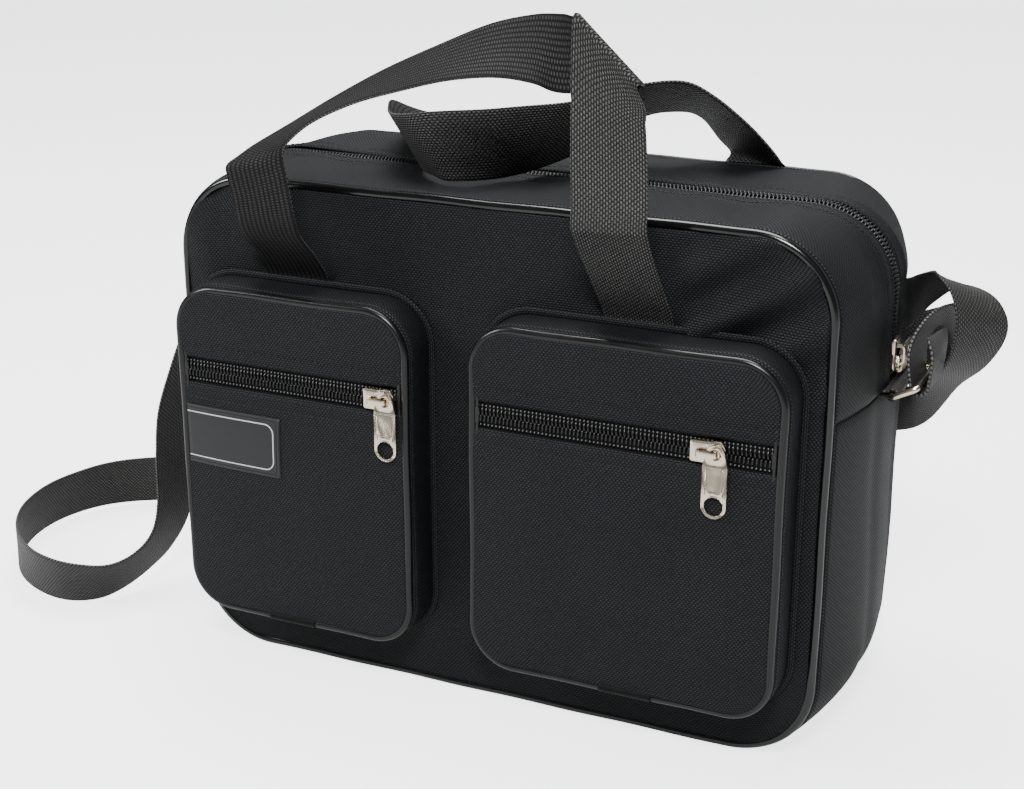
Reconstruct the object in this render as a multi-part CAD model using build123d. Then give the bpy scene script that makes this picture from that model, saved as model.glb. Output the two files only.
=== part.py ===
from build123d import *
import math
import os

os.makedirs("parts", exist_ok=True)

# A soft flight bag in woven polyester: two front pockets, two webbing handles
# and a webbing shoulder strap. Millimetres, +X right, +Y back, +Z up.
# The origin is the middle of the base, on the surface that the bag stands on.

# ---- driving dimensions ----
body_width = 380.0
body_depth = 150.0
body_height = 288.0
body_corner = 46.0
side_bulge = 12.0          # how far the filled sides stand out at mid depth
cloth = 1.6                # outer cloth with its lining
piping_dia = 4.5
binding_width = 10.0       # folded tape over the inside seams
binding_thick = 2.0
board_thick = 3.0
seam_drop = 96.0           # seam between the lower gusset and the zip gusset, below the top

pocket_depth = 28.0
pocket_bottom = 34.0
pocket_drop = 57.0         # top of the pockets, below the top of the bag
pocket_corner = 26.0
pocket_margin = (12.0, 15.0)   # left and right pocket, from the sides of the bag
pocket_gap = (-32.0, 3.5)      # bare panel between the pockets
pocket_zip_drop = 50.0     # zip, below the top of the pocket

zip_window = 14.0          # open width between the two cloth edges of a zip
tape_lap = 8.0             # how far the tape runs under the cloth
tape_thick = 0.7
coil_width = 3.0
coil_height = 2.0
coil_gap = 2.4             # room for the slider's neck between the coil halves
stop_length = 2.0
slider_length = 18.0
slider_width = 13.0
slider_plate = 1.4
slider_clear = 0.4
bail_span = 11.0
bail_wire = 1.5
bail_width = 3.0
bail_room = 3.0
pull_reach = 34.0          # from the bail's leg to the far tip
pull_width = 13.0
pull_thick = 1.6
pull_hole = 10.0
left_slider_in = 16.6      # left slider, from the right end of its pocket
right_slider_in = 39.0
main_slider_up = 18.0      # main slider, above the gusset seam

label_size = (62.0, 35.0)
label_corner = 4.0
label_thick = 0.8
label_in = (36.0, 88.0)    # label centre, from the left and the top of its pocket

webbing_width = 38.0
webbing_thick = 1.8
front_feet_x = (-113.0, 87.5)
rear_feet_x = (-100.0, 101.0)
foot_length = 35.0         # sewn foot of the front handle, below the top of the pockets
front_fold_up = 1.0        # the front handle leaves its feet this far above the pockets
rear_fold_drop = 2.6       # the rear handle bends over this far below the top
fold_stand = 0.7           # the front handle stands off the panel by this much at its fold
fold_gap = 1.2             # bare stretch on each side of a handle's fold

ring_wire = 3.2
ring_inside = 41.0
tab_width = 36.0
tab_thick = 1.6
ring_clear = 0.4
ring_bar_out = 5.0         # tab bar, outwards from the side at mid depth
ring_bar_up = 1.0          # tab bar, above the gusset seam
ring_reach = (13.5, 6.8)   # strap bar from tab bar, outwards and upwards
strap_clear = 2.0          # slack of the strap round its ring
sleeve_length = 30.0
sleeve_wall = 0.6

# ---- derived ----
pipe_r = piping_dia / 2
front_y = -body_depth / 2
rear_y = body_depth / 2
pocket_y = front_y - pocket_depth
side_x = body_width / 2 + side_bulge
coil_outer = coil_gap / 2 + coil_width
coil_proud = coil_height - cloth
half_window = zip_window / 2
half_tape = half_window + tape_lap
half_web = webbing_width / 2
half_thick = webbing_thick / 2
seam_height = body_height - seam_drop
pocket_top = body_height - pocket_drop
left_pocket_x = (pocket_margin[0] - body_width / 2, pocket_gap[0])
right_pocket_x = (pocket_gap[1], body_width / 2 - pocket_margin[1])
pocket_zip_height = pocket_top - pocket_zip_drop
left_slider_x = left_pocket_x[1] - left_slider_in
right_slider_x = right_pocket_x[1] - right_slider_in
main_slider_z = seam_height + main_slider_up
label_place = (left_pocket_x[0] + label_in[0], pocket_top - label_in[1])
foot_bottom = pocket_top - foot_length
front_fold = pocket_top + front_fold_up
rear_fold = body_height - rear_fold_drop


def save(shape, name):
    """Write one sub-part."""
    solids = shape.solids()
    part = solids[0] if len(solids) == 1 else Compound(children=list(solids))
    part.label = name
    export_step(part, f"parts/{name}.step")
    print(f"{name}: {len(solids)} solid, {sum(s.volume for s in solids):.0f} mm3")


def upright(y):
    """A drawing plane that faces the front, at depth y, drawn in X and Z."""
    return Plane(origin=(0, y, 0), x_dir=(1, 0, 0), z_dir=(0, -1, 0))


def span_box(x, y, z):
    """A box between two values on each axis."""
    size = (x[1] - x[0], y[1] - y[0], z[1] - z[0])
    centre = ((x[0] + x[1]) / 2, (y[0] + y[1]) / 2, (z[0] + z[1]) / 2)
    return Pos(*centre) * Box(*size)


# ---- body shell ----
def body_outline(y, inset):
    """The bag's outline at depth y, moved inwards; its sides stand out at mid depth."""
    bulge = side_bulge * (1 - (2 * y / body_depth) ** 2)
    width = body_width + 2 * bulge - 2 * inset
    height = body_height - 2 * inset
    shape = RectangleRounded(width, height, body_corner - inset)
    return upright(y) * Pos(0, body_height / 2) * shape


def body_form(inset):
    """The full form of the bag, moved inwards all round by inset."""
    depths = [front_y * (1 - i / 3) for i in range(7)]
    return loft([body_outline(y, inset) for y in depths])


def body_plate(y_from, y_to, inset):
    """A flat plate with the end outline of the bag, between two depths."""
    shape = RectangleRounded(body_width - 2 * inset, body_height - 2 * inset, body_corner - inset)
    return extrude(upright(y_to) * Pos(0, body_height / 2) * shape, y_to - y_from)


def ring_tube(width, height, corner, centre_x, centre_z, y, inset, radius):
    """A round tube that follows a rounded rectangle at depth y."""
    path = upright(y) * Pos(centre_x, centre_z) * RectangleRounded(
        width - 2 * inset, height - 2 * inset, corner - inset)
    wire = path.faces()[0].outer_wire()
    start = Plane(origin=wire @ 0, z_dir=wire % 0)
    return sweep(start * Circle(radius), path=wire)


big = 2 * (body_width + body_depth + body_height)
outer_form = body_form(0)
inner_form = body_form(cloth)
tape_form = body_form(cloth + tape_thick)
coil_form = body_form(-coil_proud)
shell = outer_form - inner_form
seam_span = (front_y + piping_dia, rear_y - piping_dia)


def above_seam(y_from, y_to, z_from=seam_height):
    return span_box((-big, big), (y_from, y_to), (z_from, big))


flat_half = body_width / 2 - body_corner   # flat part of the base, from the middle
front_panel = body_plate(front_y, front_y + cloth, piping_dia)
back_panel = body_plate(rear_y - cloth, rear_y, piping_dia)
lower_gusset = shell & span_box((-big, big), seam_span, (-big, seam_height))
sole = span_box((-flat_half, flat_half), seam_span, (0, cloth))
lower_gusset = lower_gusset - sole + sole
save(front_panel, "front_panel")
save(back_panel, "back_panel")
save(lower_gusset, "lower_gusset")
save(shell & above_seam(seam_span[0], -half_window), "zip_gusset_front")
save(shell & above_seam(half_window, seam_span[1]), "zip_gusset_rear")

for name, y in (("front_piping", front_y + pipe_r), ("rear_piping", rear_y - pipe_r)):
    save(ring_tube(body_width, body_height, body_corner, 0, body_height / 2, y, pipe_r, pipe_r), name)

binding_inset = piping_dia + 0.1
for name, y in (("front_seam_binding", front_y + cloth), ("rear_seam_binding", rear_y - cloth - binding_width)):
    band = body_plate(y, y + binding_width, binding_inset)
    band -= body_plate(y, y + binding_width, binding_inset + binding_thick)
    save(band, name)

board_half_depth = body_depth / 2 - cloth - binding_width - 1
save(span_box((-flat_half, flat_half), (-board_half_depth, board_half_depth),
              (cloth, cloth + board_thick)), "base_board")

# ---- main zip ----
tape_ring = inner_form - tape_form
coil_ring = coil_form - inner_form
stop_top = seam_height + 1 + stop_length
for name, sign in (("front", -1), ("rear", 1)):
    tape_y = sorted((sign * coil_gap / 2, sign * half_tape))
    coil_y = sorted((sign * coil_gap / 2, sign * coil_outer))
    save(tape_ring & above_seam(*tape_y, seam_height - tape_lap), f"main_zip_tape_{name}")
    save(coil_ring & above_seam(*coil_y, stop_top), f"main_zip_coil_{name}")
stops = coil_ring & above_seam(-coil_outer, coil_outer, stop_top - stop_length)
stops &= span_box((-big, big), (-big, big), (-big, stop_top))
save(stops, "main_zip_stops")


# ---- sliders and pulls: X along the zip towards the nose, Y across, Z outwards from the cloth ----
plate_low = coil_proud + slider_clear
plate_top = plate_low + slider_plate
base_top = -(cloth + tape_thick + slider_clear)
bail_low = plate_top + bail_room
leg_x = bail_span / 2 - bail_wire / 2
flange_wall = 1.0


def slider_body():
    """A zip slider: two plates, the neck between the coil halves, side flanges and the bail."""
    tail = coil_outer + slider_clear + flange_wall
    nose = slider_width / 2
    half = slider_length / 2
    outline = Polyline((-half, -tail), (0, -tail), (half * 0.45, -nose), (half * 0.8, -nose),
                       (half, -nose * 0.45), (half, nose * 0.45), (half * 0.8, nose),
                       (half * 0.45, nose), (0, tail), (-half, tail), close=True)
    face = make_face(outline)
    face = fillet(face.vertices(), 1.2)
    top = Pos(0, 0, plate_low) * extrude(face, slider_plate)
    base = Pos(0, 0, base_top - slider_plate) * extrude(face, slider_plate)
    neck = span_box((half * 0.45, half * 0.85), (-0.8, 0.8), (base_top, plate_low))
    body = top + base + neck
    for sign in (-1, 1):
        y = sorted((sign * (tail - flange_wall), sign * tail))
        body += span_box((-half + 1.2, 0), y, (-cloth + slider_clear, plate_low))
    arch = span_box((-bail_span / 2, bail_span / 2), (-bail_width / 2, bail_width / 2),
                    (plate_top, bail_low + bail_wire))
    arch = fillet(arch.edges().filter_by(Axis.Y).group_by(Axis.Z)[-1], 2.2)
    arch -= span_box((-bail_span / 2 + bail_wire, bail_span / 2 - bail_wire),
                     (-bail_width, bail_width), (plate_top, bail_low))
    return body + arch


def pull_tab():
    """A flat pull with a round eye on the bail's leg; it hangs towards -Y from the leg."""
    eye = pull_width * 0.385
    end_r = pull_width / 2
    end_y = -(pull_reach - end_r)
    neck_y = -eye * 1.3
    blade = Pos(0, (neck_y + end_y) / 2) * Rectangle(pull_width, neck_y - end_y)
    face = blade + Pos(0, end_y) * Circle(end_r)
    shoulder = Polyline((-eye, 0), (eye, 0), (pull_width / 2, neck_y), (-pull_width / 2, neck_y), close=True)
    face = face + make_face(shoulder) + Circle(eye)
    face = face - Circle(eye * 0.58) - Pos(0, end_y) * Circle(pull_hole / 2)
    room_mid = (plate_top + bail_low) / 2
    return Pos(0, 0, room_mid - pull_thick / 2) * extrude(face, pull_thick)


slider_solid = slider_body()
pull_solid = pull_tab()

main_frame = Location(Plane(origin=(side_x, 0, main_slider_z), x_dir=(0, 0, -1), z_dir=(1, 0, 0)))
save(main_frame * slider_solid, "main_slider")
save(main_frame * Pos(leg_x, 0, 0) * Rot(0, 0, 180) * pull_solid, "main_pull")


# ---- pockets ----
def foot_solid(x, y_from, y_to, z_top):
    return span_box((x - half_web, x + half_web), (y_from, y_to), (foot_bottom, z_top))


front_feet = [foot_solid(x, front_y - webbing_thick, front_y, front_fold - fold_gap / 2) for x in front_feet_x]


def pocket(side, x_span, slider_x):
    """One front pocket with its piping, zip, slider and pull."""
    width = x_span[1] - x_span[0]
    height = pocket_top - pocket_bottom
    mid_x = (x_span[0] + x_span[1]) / 2
    mid_z = (pocket_top + pocket_bottom) / 2

    def block(y_from, y_to, inset):
        shape = RectangleRounded(width - 2 * inset, height - 2 * inset, pocket_corner - inset)
        return extrude(upright(y_to) * Pos(mid_x, mid_z) * shape, y_to - y_from)

    wall_y = pocket_y + piping_dia
    wall = block(wall_y, front_y, 0) - block(wall_y, front_y, cloth)
    for foot in front_feet:
        wall -= foot
    save(wall, f"{side}_pocket_wall")

    face = block(pocket_y, pocket_y + cloth, piping_dia)
    low_edge = pocket_zip_height - half_window
    high_edge = pocket_zip_height + half_window
    save(face & span_box((-big, big), (-big, big), (-big, low_edge)), f"{side}_pocket_lower_panel")
    save(face & span_box((-big, big), (-big, big), (high_edge, big)), f"{side}_pocket_upper_panel")
    save(ring_tube(width, height, pocket_corner, mid_x, mid_z, pocket_y + pipe_r, pipe_r, pipe_r),
         f"{side}_pocket_piping")

    ends = (x_span[0] + binding_inset, x_span[1] - binding_inset)
    tape_y = (pocket_y + cloth, pocket_y + cloth + tape_thick)
    coil_y = (pocket_y - coil_proud, pocket_y + cloth)
    for name, sign in (("lower", -1), ("upper", 1)):
        tape_z = sorted(pocket_zip_height + sign * v for v in (coil_gap / 2, half_tape))
        coil_z = sorted(pocket_zip_height + sign * v for v in (coil_gap / 2, coil_outer))
        save(span_box(ends, tape_y, tape_z), f"{side}_pocket_tape_{name}")
        save(span_box((ends[0] + stop_length, ends[1] - stop_length), coil_y, coil_z),
             f"{side}_pocket_coil_{name}")
    stop_z = (pocket_zip_height - coil_outer, pocket_zip_height + coil_outer)
    left_stop = span_box((ends[0], ends[0] + stop_length), coil_y, stop_z)
    right_stop = span_box((ends[1] - stop_length, ends[1]), coil_y, stop_z)
    save(left_stop + right_stop, f"{side}_pocket_zip_stops")

    frame = Location(Plane(origin=(slider_x, pocket_y, pocket_zip_height), x_dir=(1, 0, 0), z_dir=(0, -1, 0)))
    save(frame * slider_solid, f"{side}_pocket_slider")
    save(frame * Pos(leg_x, 0, 0) * pull_solid, f"{side}_pocket_pull")


pocket("left", left_pocket_x, left_slider_x)
pocket("right", right_pocket_x, right_slider_x)

label_face = RectangleRounded(*label_size, label_corner)
label_solid = extrude(upright(pocket_y) * Pos(*label_place) * label_face, label_thick)
save(label_solid, "pocket_label")


# ---- webbing: a flat band carried along two selvages ----
def smooth(points, steps):
    """A Catmull-Rom curve through the points, with steps spans between neighbours."""
    line = [Vector(*p) for p in points]
    line = [line[0] * 2 - line[1]] + line + [line[-1] * 2 - line[-2]]
    out = []
    for i in range(1, len(line) - 2):
        a, b, c, d = line[i - 1:i + 3]
        for k in range(steps):
            t = k / steps
            out.append(b + (c - a) * (t / 2) + (a * 2 - b * 5 + c * 4 - d) * (t * t / 2)
                       + (b * 3 - a - c * 3 + d) * (t ** 3 / 2))
    return out + [line[-2]]


def webbing(stations, steps, width=webbing_width):
    """A solid band through stations; each is its two selvage points."""
    left = smooth([s[0] for s in stations], steps)
    right = smooth([s[1] for s in stations], steps)
    mids = [(a + b) * 0.5 for a, b in zip(left, right)]
    rings = []
    for i, mid in enumerate(mids):
        ahead = mids[min(i + 1, len(mids) - 1)] - mids[max(i - 1, 0)]
        across = (right[i] - left[i]).normalized()
        lift = ahead.cross(across).normalized() * half_thick
        reach = max(width, (right[i] - left[i]).length if crease(stations, i, steps) else 0) / 2
        a = mid - across * reach
        b = mid + across * reach
        rings.append((a - lift, b - lift, b + lift, a + lift))
    first, last = rings[0], rings[-1]
    faces = [flat((first[0], first[2], first[1])), flat((first[0], first[3], first[2]))]
    for ring, after in zip(rings, rings[1:]):
        for k in range(4):
            m = (k + 1) % 4
            faces.append(flat((ring[k], ring[m], after[m])))
            faces.append(flat((ring[k], after[m], after[k])))
    faces += [flat((last[0], last[1], last[2])), flat((last[0], last[2], last[3]))]
    length = sum((b - a).length for a, b in zip(mids, mids[1:]))
    return Solid(Shell(faces)), length


def crease(stations, i, steps):
    """True beside a station that is marked as a slanting crease."""
    return any(len(s) > 2 and abs(i - k * steps) < steps for k, s in enumerate(stations))


def flat(points):
    return Face(Wire.make_polygon(points, close=True))


def stretched(value, drawn, now):
    """A route's coordinate, moved as far as the bag has grown from the size it was drawn for."""
    return value + math.copysign((now - drawn) * min(1, abs(value) / drawn), value)


def fitted(stations, z_drawn, z_now):
    """Stations drawn round a bag 404 mm over its sides and 150 mm deep, fitted to this one."""
    def fit(point):
        x, y, z = point
        return (stretched(x, 202, side_x), stretched(y, 75, rear_y), stretched(z, z_drawn, z_now))
    return [tuple(fit(p) if isinstance(p, tuple) else p for p in station) for station in stations]


front_foot_y = front_y - half_thick
rear_foot_y = rear_y + half_thick
fold_z = front_fold + fold_gap
back_z = rear_fold + fold_gap


def foot_station(x, y, z, flip=False):
    pair = ((x - half_web, y, z), (x + half_web, y, z))
    return pair[::-1] if flip else pair


front_route = [
    ((-131, -84, 248), (-93, -84, 248)),
    ((-127, -97, 264), (-89, -97, 264)),
    ((-126, -107, 276), (-88, -108, 275)),
    ((-130, -109, 286), (-92, -111, 285)),
    ((-136, -104, 298), (-101, -109, 305)),
    ((-128, -95, 311), (-97, -111, 317)),
    ((-105, -88, 323), (-78, -113, 330)),
    ((-80, -86, 338), (-54, -113, 341)),
    ((-50, -85, 354), (-29, -114, 349)),
    ((-16, -86, 369), (0, -115, 357)),
    ((11, -88, 380), (25, -114, 360)),
    ((34, -91, 386), (44, -112, 358)),
    ((52, -95, 388), (58, -105, 353)),
    ((61, -100, 388.5), (96.5, -98, 352.5), "crease"),
    ((62.6, -102, 390), (98, -100, 354), "crease"),
    ((61, -104, 388.5), (96.5, -102, 352.5), "crease"),
    ((61, -107, 350), (99, -103, 350)),
    ((64, -112, 326), (101, -107, 326)),
    ((66, -116, 296), (104, -112, 295)),
    ((66, -113, 281), (104, -111, 281)),
    ((66, -103, 266), (104, -103, 267)),
    ((67, -87, 248), (105, -87, 248)),
]
front_loop = [
    foot_station(front_feet_x[0], front_foot_y - fold_stand, fold_z),
    *fitted(front_route, 232, front_fold),
    foot_station(front_feet_x[1], front_foot_y - fold_stand, fold_z),
]
rear_route = [
    ((-119, 75.6, 293), (-81, 75.6, 292.5)),
    ((-118, 66, 304), (-80, 66, 300)),
    ((-114, 40, 314), (-80, 40, 297)),
    ((-104, 10, 321), (-78, 10, 293)),
    ((-90, -22, 325), (-67, -27, 295)),
    ((-68, -46, 325), (-46, -47, 294)),
    ((-40, -46, 328), (-32, -49, 291)),
    ((-8, -31, 329), (-8, -31, 291)),
    ((22, -8, 331), (14, 8, 297)),
    ((50, 16, 338), (40, 44, 314)),
    ((71, 31, 339), (59, 60, 317)),
    ((86, 38, 328), (70, 69, 314)),
    ((100, 48, 313), (80, 78, 303)),
    ((115, 69, 298), (81, 78.5, 293)),
]
rear_loop = [
    foot_station(rear_feet_x[0], rear_foot_y, back_z),
    *fitted(rear_route, 285.4, rear_fold),
    foot_station(rear_feet_x[1], rear_foot_y, back_z, flip=True),
]
for name, y_span, feet_x, top in (
        ("front_handle_feet", (front_y - webbing_thick, front_y), front_feet_x, front_fold - fold_gap / 2),
        ("rear_handle_feet", (rear_y, rear_y + webbing_thick), rear_feet_x, rear_fold - 1.6 * fold_gap)):
    save(Compound(children=[foot_solid(x, *y_span, top) for x in feet_x]), name)
for name, stations in (("front_handle", front_loop), ("rear_handle", rear_loop)):
    band, length = webbing(stations, 3)
    save(band, name)
    print(f"  {name} webbing length {length:.0f} mm")


# ---- rings, their tabs and the shoulder strap ----
tab_bar = (side_x + ring_bar_out, seam_height + ring_bar_up)
strap_bar = (tab_bar[0] + ring_reach[0], tab_bar[1] + ring_reach[1])
ring_slope = math.degrees(math.atan2(ring_reach[1], ring_reach[0]))
ring_height = math.hypot(*ring_reach)


def wire_ring():
    """A rectangle of round wire on the right side of the bag."""
    plane = Plane(origin=(tab_bar[0], 0, tab_bar[1]), x_dir=(ring_reach[0], 0, ring_reach[1]),
                  z_dir=Vector(0, 1, 0).cross(Vector(-ring_reach[0], 0, -ring_reach[1])))
    width = ring_inside + ring_wire
    path = (plane * Pos(ring_height / 2, 0) * RectangleRounded(ring_height, width, 3.0)).faces()[0].outer_wire()
    return sweep(Plane(origin=path @ 0, z_dir=path % 0) * Circle(ring_wire / 2), path=path)


def ring_tab():
    """A folded webbing tab round the ring's inner bar, trimmed where it enters the seam."""
    eye = ring_wire / 2 + ring_clear
    side = Plane(origin=(0, tab_width / 2, 0), x_dir=(1, 0, 0), z_dir=(0, -1, 0))
    tongue = Pos(tab_bar[0] - eye - tab_thick - 3, tab_bar[1]) * Rectangle(12, 2 * tab_thick)
    profile = tongue + Pos(*tab_bar) * Circle(eye + tab_thick)
    profile = profile - Pos(*tab_bar) * Circle(eye)
    tab = extrude(side * profile, tab_width) - outer_form
    zip_band = span_box((-big, big), (-coil_outer - ring_clear, coil_outer + ring_clear), (-big, big))
    return tab - (coil_form & zip_band)


ring_solid = wire_ring()
tab_solid = ring_tab()
for side, flip in (("right", False), ("left", True)):
    save(tab_solid.mirror(Plane.YZ) if flip else tab_solid, f"{side}_ring_tab")
    save(ring_solid.mirror(Plane.YZ) if flip else ring_solid, f"{side}_ring")


def eye_stations(sign, turn_from, turn_to, count=6):
    """Stations round the strap bar; the angle starts on the bag's side and turns over the top."""
    radius = ring_wire / 2 + strap_clear + half_thick
    rows = []
    for i in range(count + 1):
        angle = math.radians(turn_from + (turn_to - turn_from) * i / count)
        x = sign * (strap_bar[0] - radius * math.cos(angle))
        z = strap_bar[1] + radius * math.sin(angle)
        rows.append(((x, -half_web, z), (x, half_web, z)))
    return rows


left_end = [
    ((-217, -19, 166), (-217, 19, 166)),
    ((-216.4, -19, 182), (-216.4, 19, 182)),
]
strap_route = [
    ((-228, -22, 182), (-227, 16, 182)),
    ((-236, -31, 152), (-234, 7, 153)),
    ((-243, -38, 122), (-239, -1, 122)),
    ((-245, -41, 92), (-241, -4, 88)),
    ((-245, -43, 62), (-245, -9, 46)),
    ((-246, -50, 44), (-253, -20, 23)),
    ((-249, -66, 36), (-259, -37, 12)),
    ((-257, -81, 33), (-266, -56, 5)),
    ((-271, -90, 34), (-276, -71, 1.5)),
    ((-290, -94, 36), (-294, -80, 1)),
    ((-314, -87, 37), (-319, -76, 1)),
    ((-340, -67, 38), (-345, -61, 1)),
    ((-359, -38, 38.5), (-366, -36, 1)),
    ((-367, -4, 38.5), (-377, -4, 1.5)),
    ((-363, 26, 38.5), (-375, 28, 2)),
    ((-350, 52, 39), (-360, 57, 2)),
    ((-322, 74, 39), (-329, 80, 1.5)),
    ((-284, 87, 39), (-288, 93, 1.5)),
    ((-240, 92, 40), (-241, 97, 2)),
    ((-190, 93, 46), (-182, 96, 9)),
    ((-136, 90, 68), (-118, 92, 34)),
    ((-86, 86, 100), (-66, 87, 67)),
    ((-36, 83, 133), (-16, 83, 100)),
    ((14, 81, 163), (32, 81, 129)),
    ((64, 80.5, 188), (78, 80.5, 152)),
    ((112, 80.5, 208), (120, 81.5, 171)),
    ((154, 79.5, 221), (158, 85, 183)),
    ((188, 78, 229), (186, 92, 193)),
    ((201, 60, 238), (198, 80, 205)),
    ((212, 40, 246), (209, 69, 220)),
    ((218, 24, 248), (224, 58, 234)),
    ((226, 18, 242), (242, 51, 233)),
    ((230, 16, 230), (252, 47, 223)),
    ((230, 17, 217), (252, 48, 210)),
    ((227, 20, 203), (242, 53, 192)),
    ((217, 29, 188), (227, 64, 175)),
    ((205, 50, 174), (209, 76, 147)),
    ((190, 79, 168), (188, 92, 133)),
    ((160, 86, 169), (159, 92, 131)),
    ((124, 88, 171), (124, 92, 133)),
    ((104, 92, 172), (104, 95, 134)),
    ((96, 99, 173), (96, 101, 135)),
    ((104, 106, 174), (105, 107, 136)),
    ((130, 110, 178), (133, 110, 140)),
    ((166, 112, 189), (172, 112, 151)),
    ((198, 109, 203), (203, 109, 166)),
    ((219, 94, 214), (221, 95, 177)),
    ((228, 68, 222), (226, 74, 185)),
    ((225, 38, 230), (223, 58, 198)),
    ((219, 14, 231), (220, 47, 213)),
    ((214, -4, 224), (217, 33, 217)),
    ((213, -14, 214), (215, 24, 211)),
]
right_end = [
    ((225.5, -16, 214), (225.5, 22, 214)),
    ((221.5, -11, 224), (223.5, 27, 220)),
]
strap = [
    *fitted(left_end, 192, seam_height),
    *eye_stations(-1, 0, 180),
    *fitted(strap_route, 192, seam_height),
    *eye_stations(1, 0, -180),
    *fitted(right_end, 192, seam_height),
]
strap_solid, strap_length = webbing(strap, 3)
save(strap_solid, "shoulder_strap")
print(f"  shoulder_strap webbing length {strap_length:.0f} mm")


# ---- sleeves that cover the joints of the piping ----
def sleeve(x, y, z):
    """A short tape sleeve round a straight bottom run of piping."""
    outer = pipe_r + sleeve_wall
    tube = Cylinder(outer, sleeve_length) - Cylinder(pipe_r, sleeve_length)
    tube = Pos(x, y, z) * Rot(0, 90, 0) * tube
    return tube


pocket_pipe_z = pocket_bottom + pipe_r
pocket_pipe_y = pocket_y + pipe_r
sleeves = [sleeve(x, pocket_pipe_y, pocket_pipe_z) for x in (-110.0, 95.0)]
for part_name, tube in zip(("left_pocket_piping_sleeve", "right_pocket_piping_sleeve"), sleeves):
    keep = span_box((-big, big), (-big, pocket_y + pipe_r), (-big, pocket_pipe_z))
    save(tube & keep, part_name)
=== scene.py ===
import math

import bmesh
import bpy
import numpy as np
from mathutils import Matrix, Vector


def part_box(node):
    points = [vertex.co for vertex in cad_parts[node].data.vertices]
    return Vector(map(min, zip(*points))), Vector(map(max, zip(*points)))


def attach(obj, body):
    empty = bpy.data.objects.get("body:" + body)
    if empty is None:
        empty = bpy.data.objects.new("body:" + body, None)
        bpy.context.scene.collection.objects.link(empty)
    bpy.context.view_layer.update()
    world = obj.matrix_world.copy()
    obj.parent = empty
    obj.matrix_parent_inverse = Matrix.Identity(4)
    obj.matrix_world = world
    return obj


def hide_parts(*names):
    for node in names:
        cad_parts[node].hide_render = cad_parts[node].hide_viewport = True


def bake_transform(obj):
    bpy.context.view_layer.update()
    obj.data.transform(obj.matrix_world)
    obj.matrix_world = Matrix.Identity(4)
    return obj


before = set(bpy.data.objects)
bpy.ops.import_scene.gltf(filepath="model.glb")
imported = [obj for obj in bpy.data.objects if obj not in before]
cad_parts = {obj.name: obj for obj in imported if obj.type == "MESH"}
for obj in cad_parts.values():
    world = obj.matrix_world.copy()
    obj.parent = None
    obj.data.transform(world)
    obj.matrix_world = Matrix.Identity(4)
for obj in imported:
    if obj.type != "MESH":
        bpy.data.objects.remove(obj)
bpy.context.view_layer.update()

# %% [markdown]
# # A soft flight bag, piece by piece
# The bag is sewn from black woven polyester, edged with vinyl piping, closed by coil zips and carried
# by webbing. The frame gives the place and size of each piece, in metres: +X right, +Y back, +Z up.
# Cloth, cord and webbing are surfaces that follow a formula, so they are written as mesh code on a
# grid. The metal parts are made the way a hand would make them, with Blender's own operators.

MM = 0.001
panel_low, panel_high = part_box("front_piping")
rear_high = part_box("rear_piping")[1]
half_width = panel_high.x
height = panel_high.z
front_y = panel_low.y
rear_y = rear_high.y
corner = 46 * MM            # radius of the bag's corners, seen from the front
pipe_r = (panel_high.y - panel_low.y) / 2
gusset_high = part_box("lower_gusset")[1]
seam_z = gusset_high.z
side_bulge = gusset_high.x - half_width
web_width = 38 * MM
web_thick = 1.8 * MM
cloth_thick = 1.2 * MM      # polyester with its lining
seam_allowance = 3.2 * MM   # from the bag's face to the edge of the gusset cloth
print("body", half_width * 2, rear_y - front_y, height, "bulge", round(side_bulge, 4))

# %% [markdown]
# ## Helpers for grids
# A sheet of cloth is a grid of points with a second grid behind it. Joining the two along the rim
# gives a closed skin, which renders and exports better than a bare surface. Every grid keeps a UV map
# in metres along and across the cloth, so that the weave keeps its true scale wherever the cloth bends.

# %% Mesh from arrays
def make_mesh(name, points, faces, uvs, material, smooth=True):
    mesh = bpy.data.meshes.new(name)
    mesh.from_pydata([tuple(p) for p in points], [], faces)
    layer = mesh.uv_layers.new(name="UVMap")
    loops = np.zeros(len(mesh.loops), np.int32)
    mesh.loops.foreach_get("vertex_index", loops)
    layer.data.foreach_set("uv", np.asarray(uvs, float)[loops].ravel())
    mesh.polygons.foreach_set("use_smooth", [smooth] * len(mesh.polygons))
    mesh.materials.append(material)
    piece = bpy.data.objects.new(name, mesh)
    bpy.context.scene.collection.objects.link(piece)
    return piece


def face_out(piece):
    """Turns every face of a closed piece outwards."""
    shell = bmesh.new()
    shell.from_mesh(piece.data)
    bmesh.ops.recalc_face_normals(shell, faces=shell.faces)
    shell.to_mesh(piece.data)
    shell.free()
    return piece


def belongs(piece, node=None):
    """A piece of the body, and the solid part that it is shown instead of."""
    if node:
        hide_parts(node)
    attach(piece, "root")


print("mesh helpers ready")

# %% [markdown]
# ## A closed sheet
# Cloth could be a bare surface with a Solidify modifier. Here the second face is made at once instead,
# because the thickness can then change along the sheet, and the two faces can have different finishes.

# %% A grid of points becomes a closed sheet
def grid_normals(grid, wrap=False):
    """Unit normals of a grid of points, by differences along its two directions."""
    along = np.gradient(grid, axis=0)
    if wrap:
        along = (np.roll(grid, -1, 0) - np.roll(grid, 1, 0)) / 2
    across = np.gradient(grid, axis=1)
    normal = np.cross(along, across)
    return normal / np.maximum(np.linalg.norm(normal, axis=2, keepdims=True), 1e-12)


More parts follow.
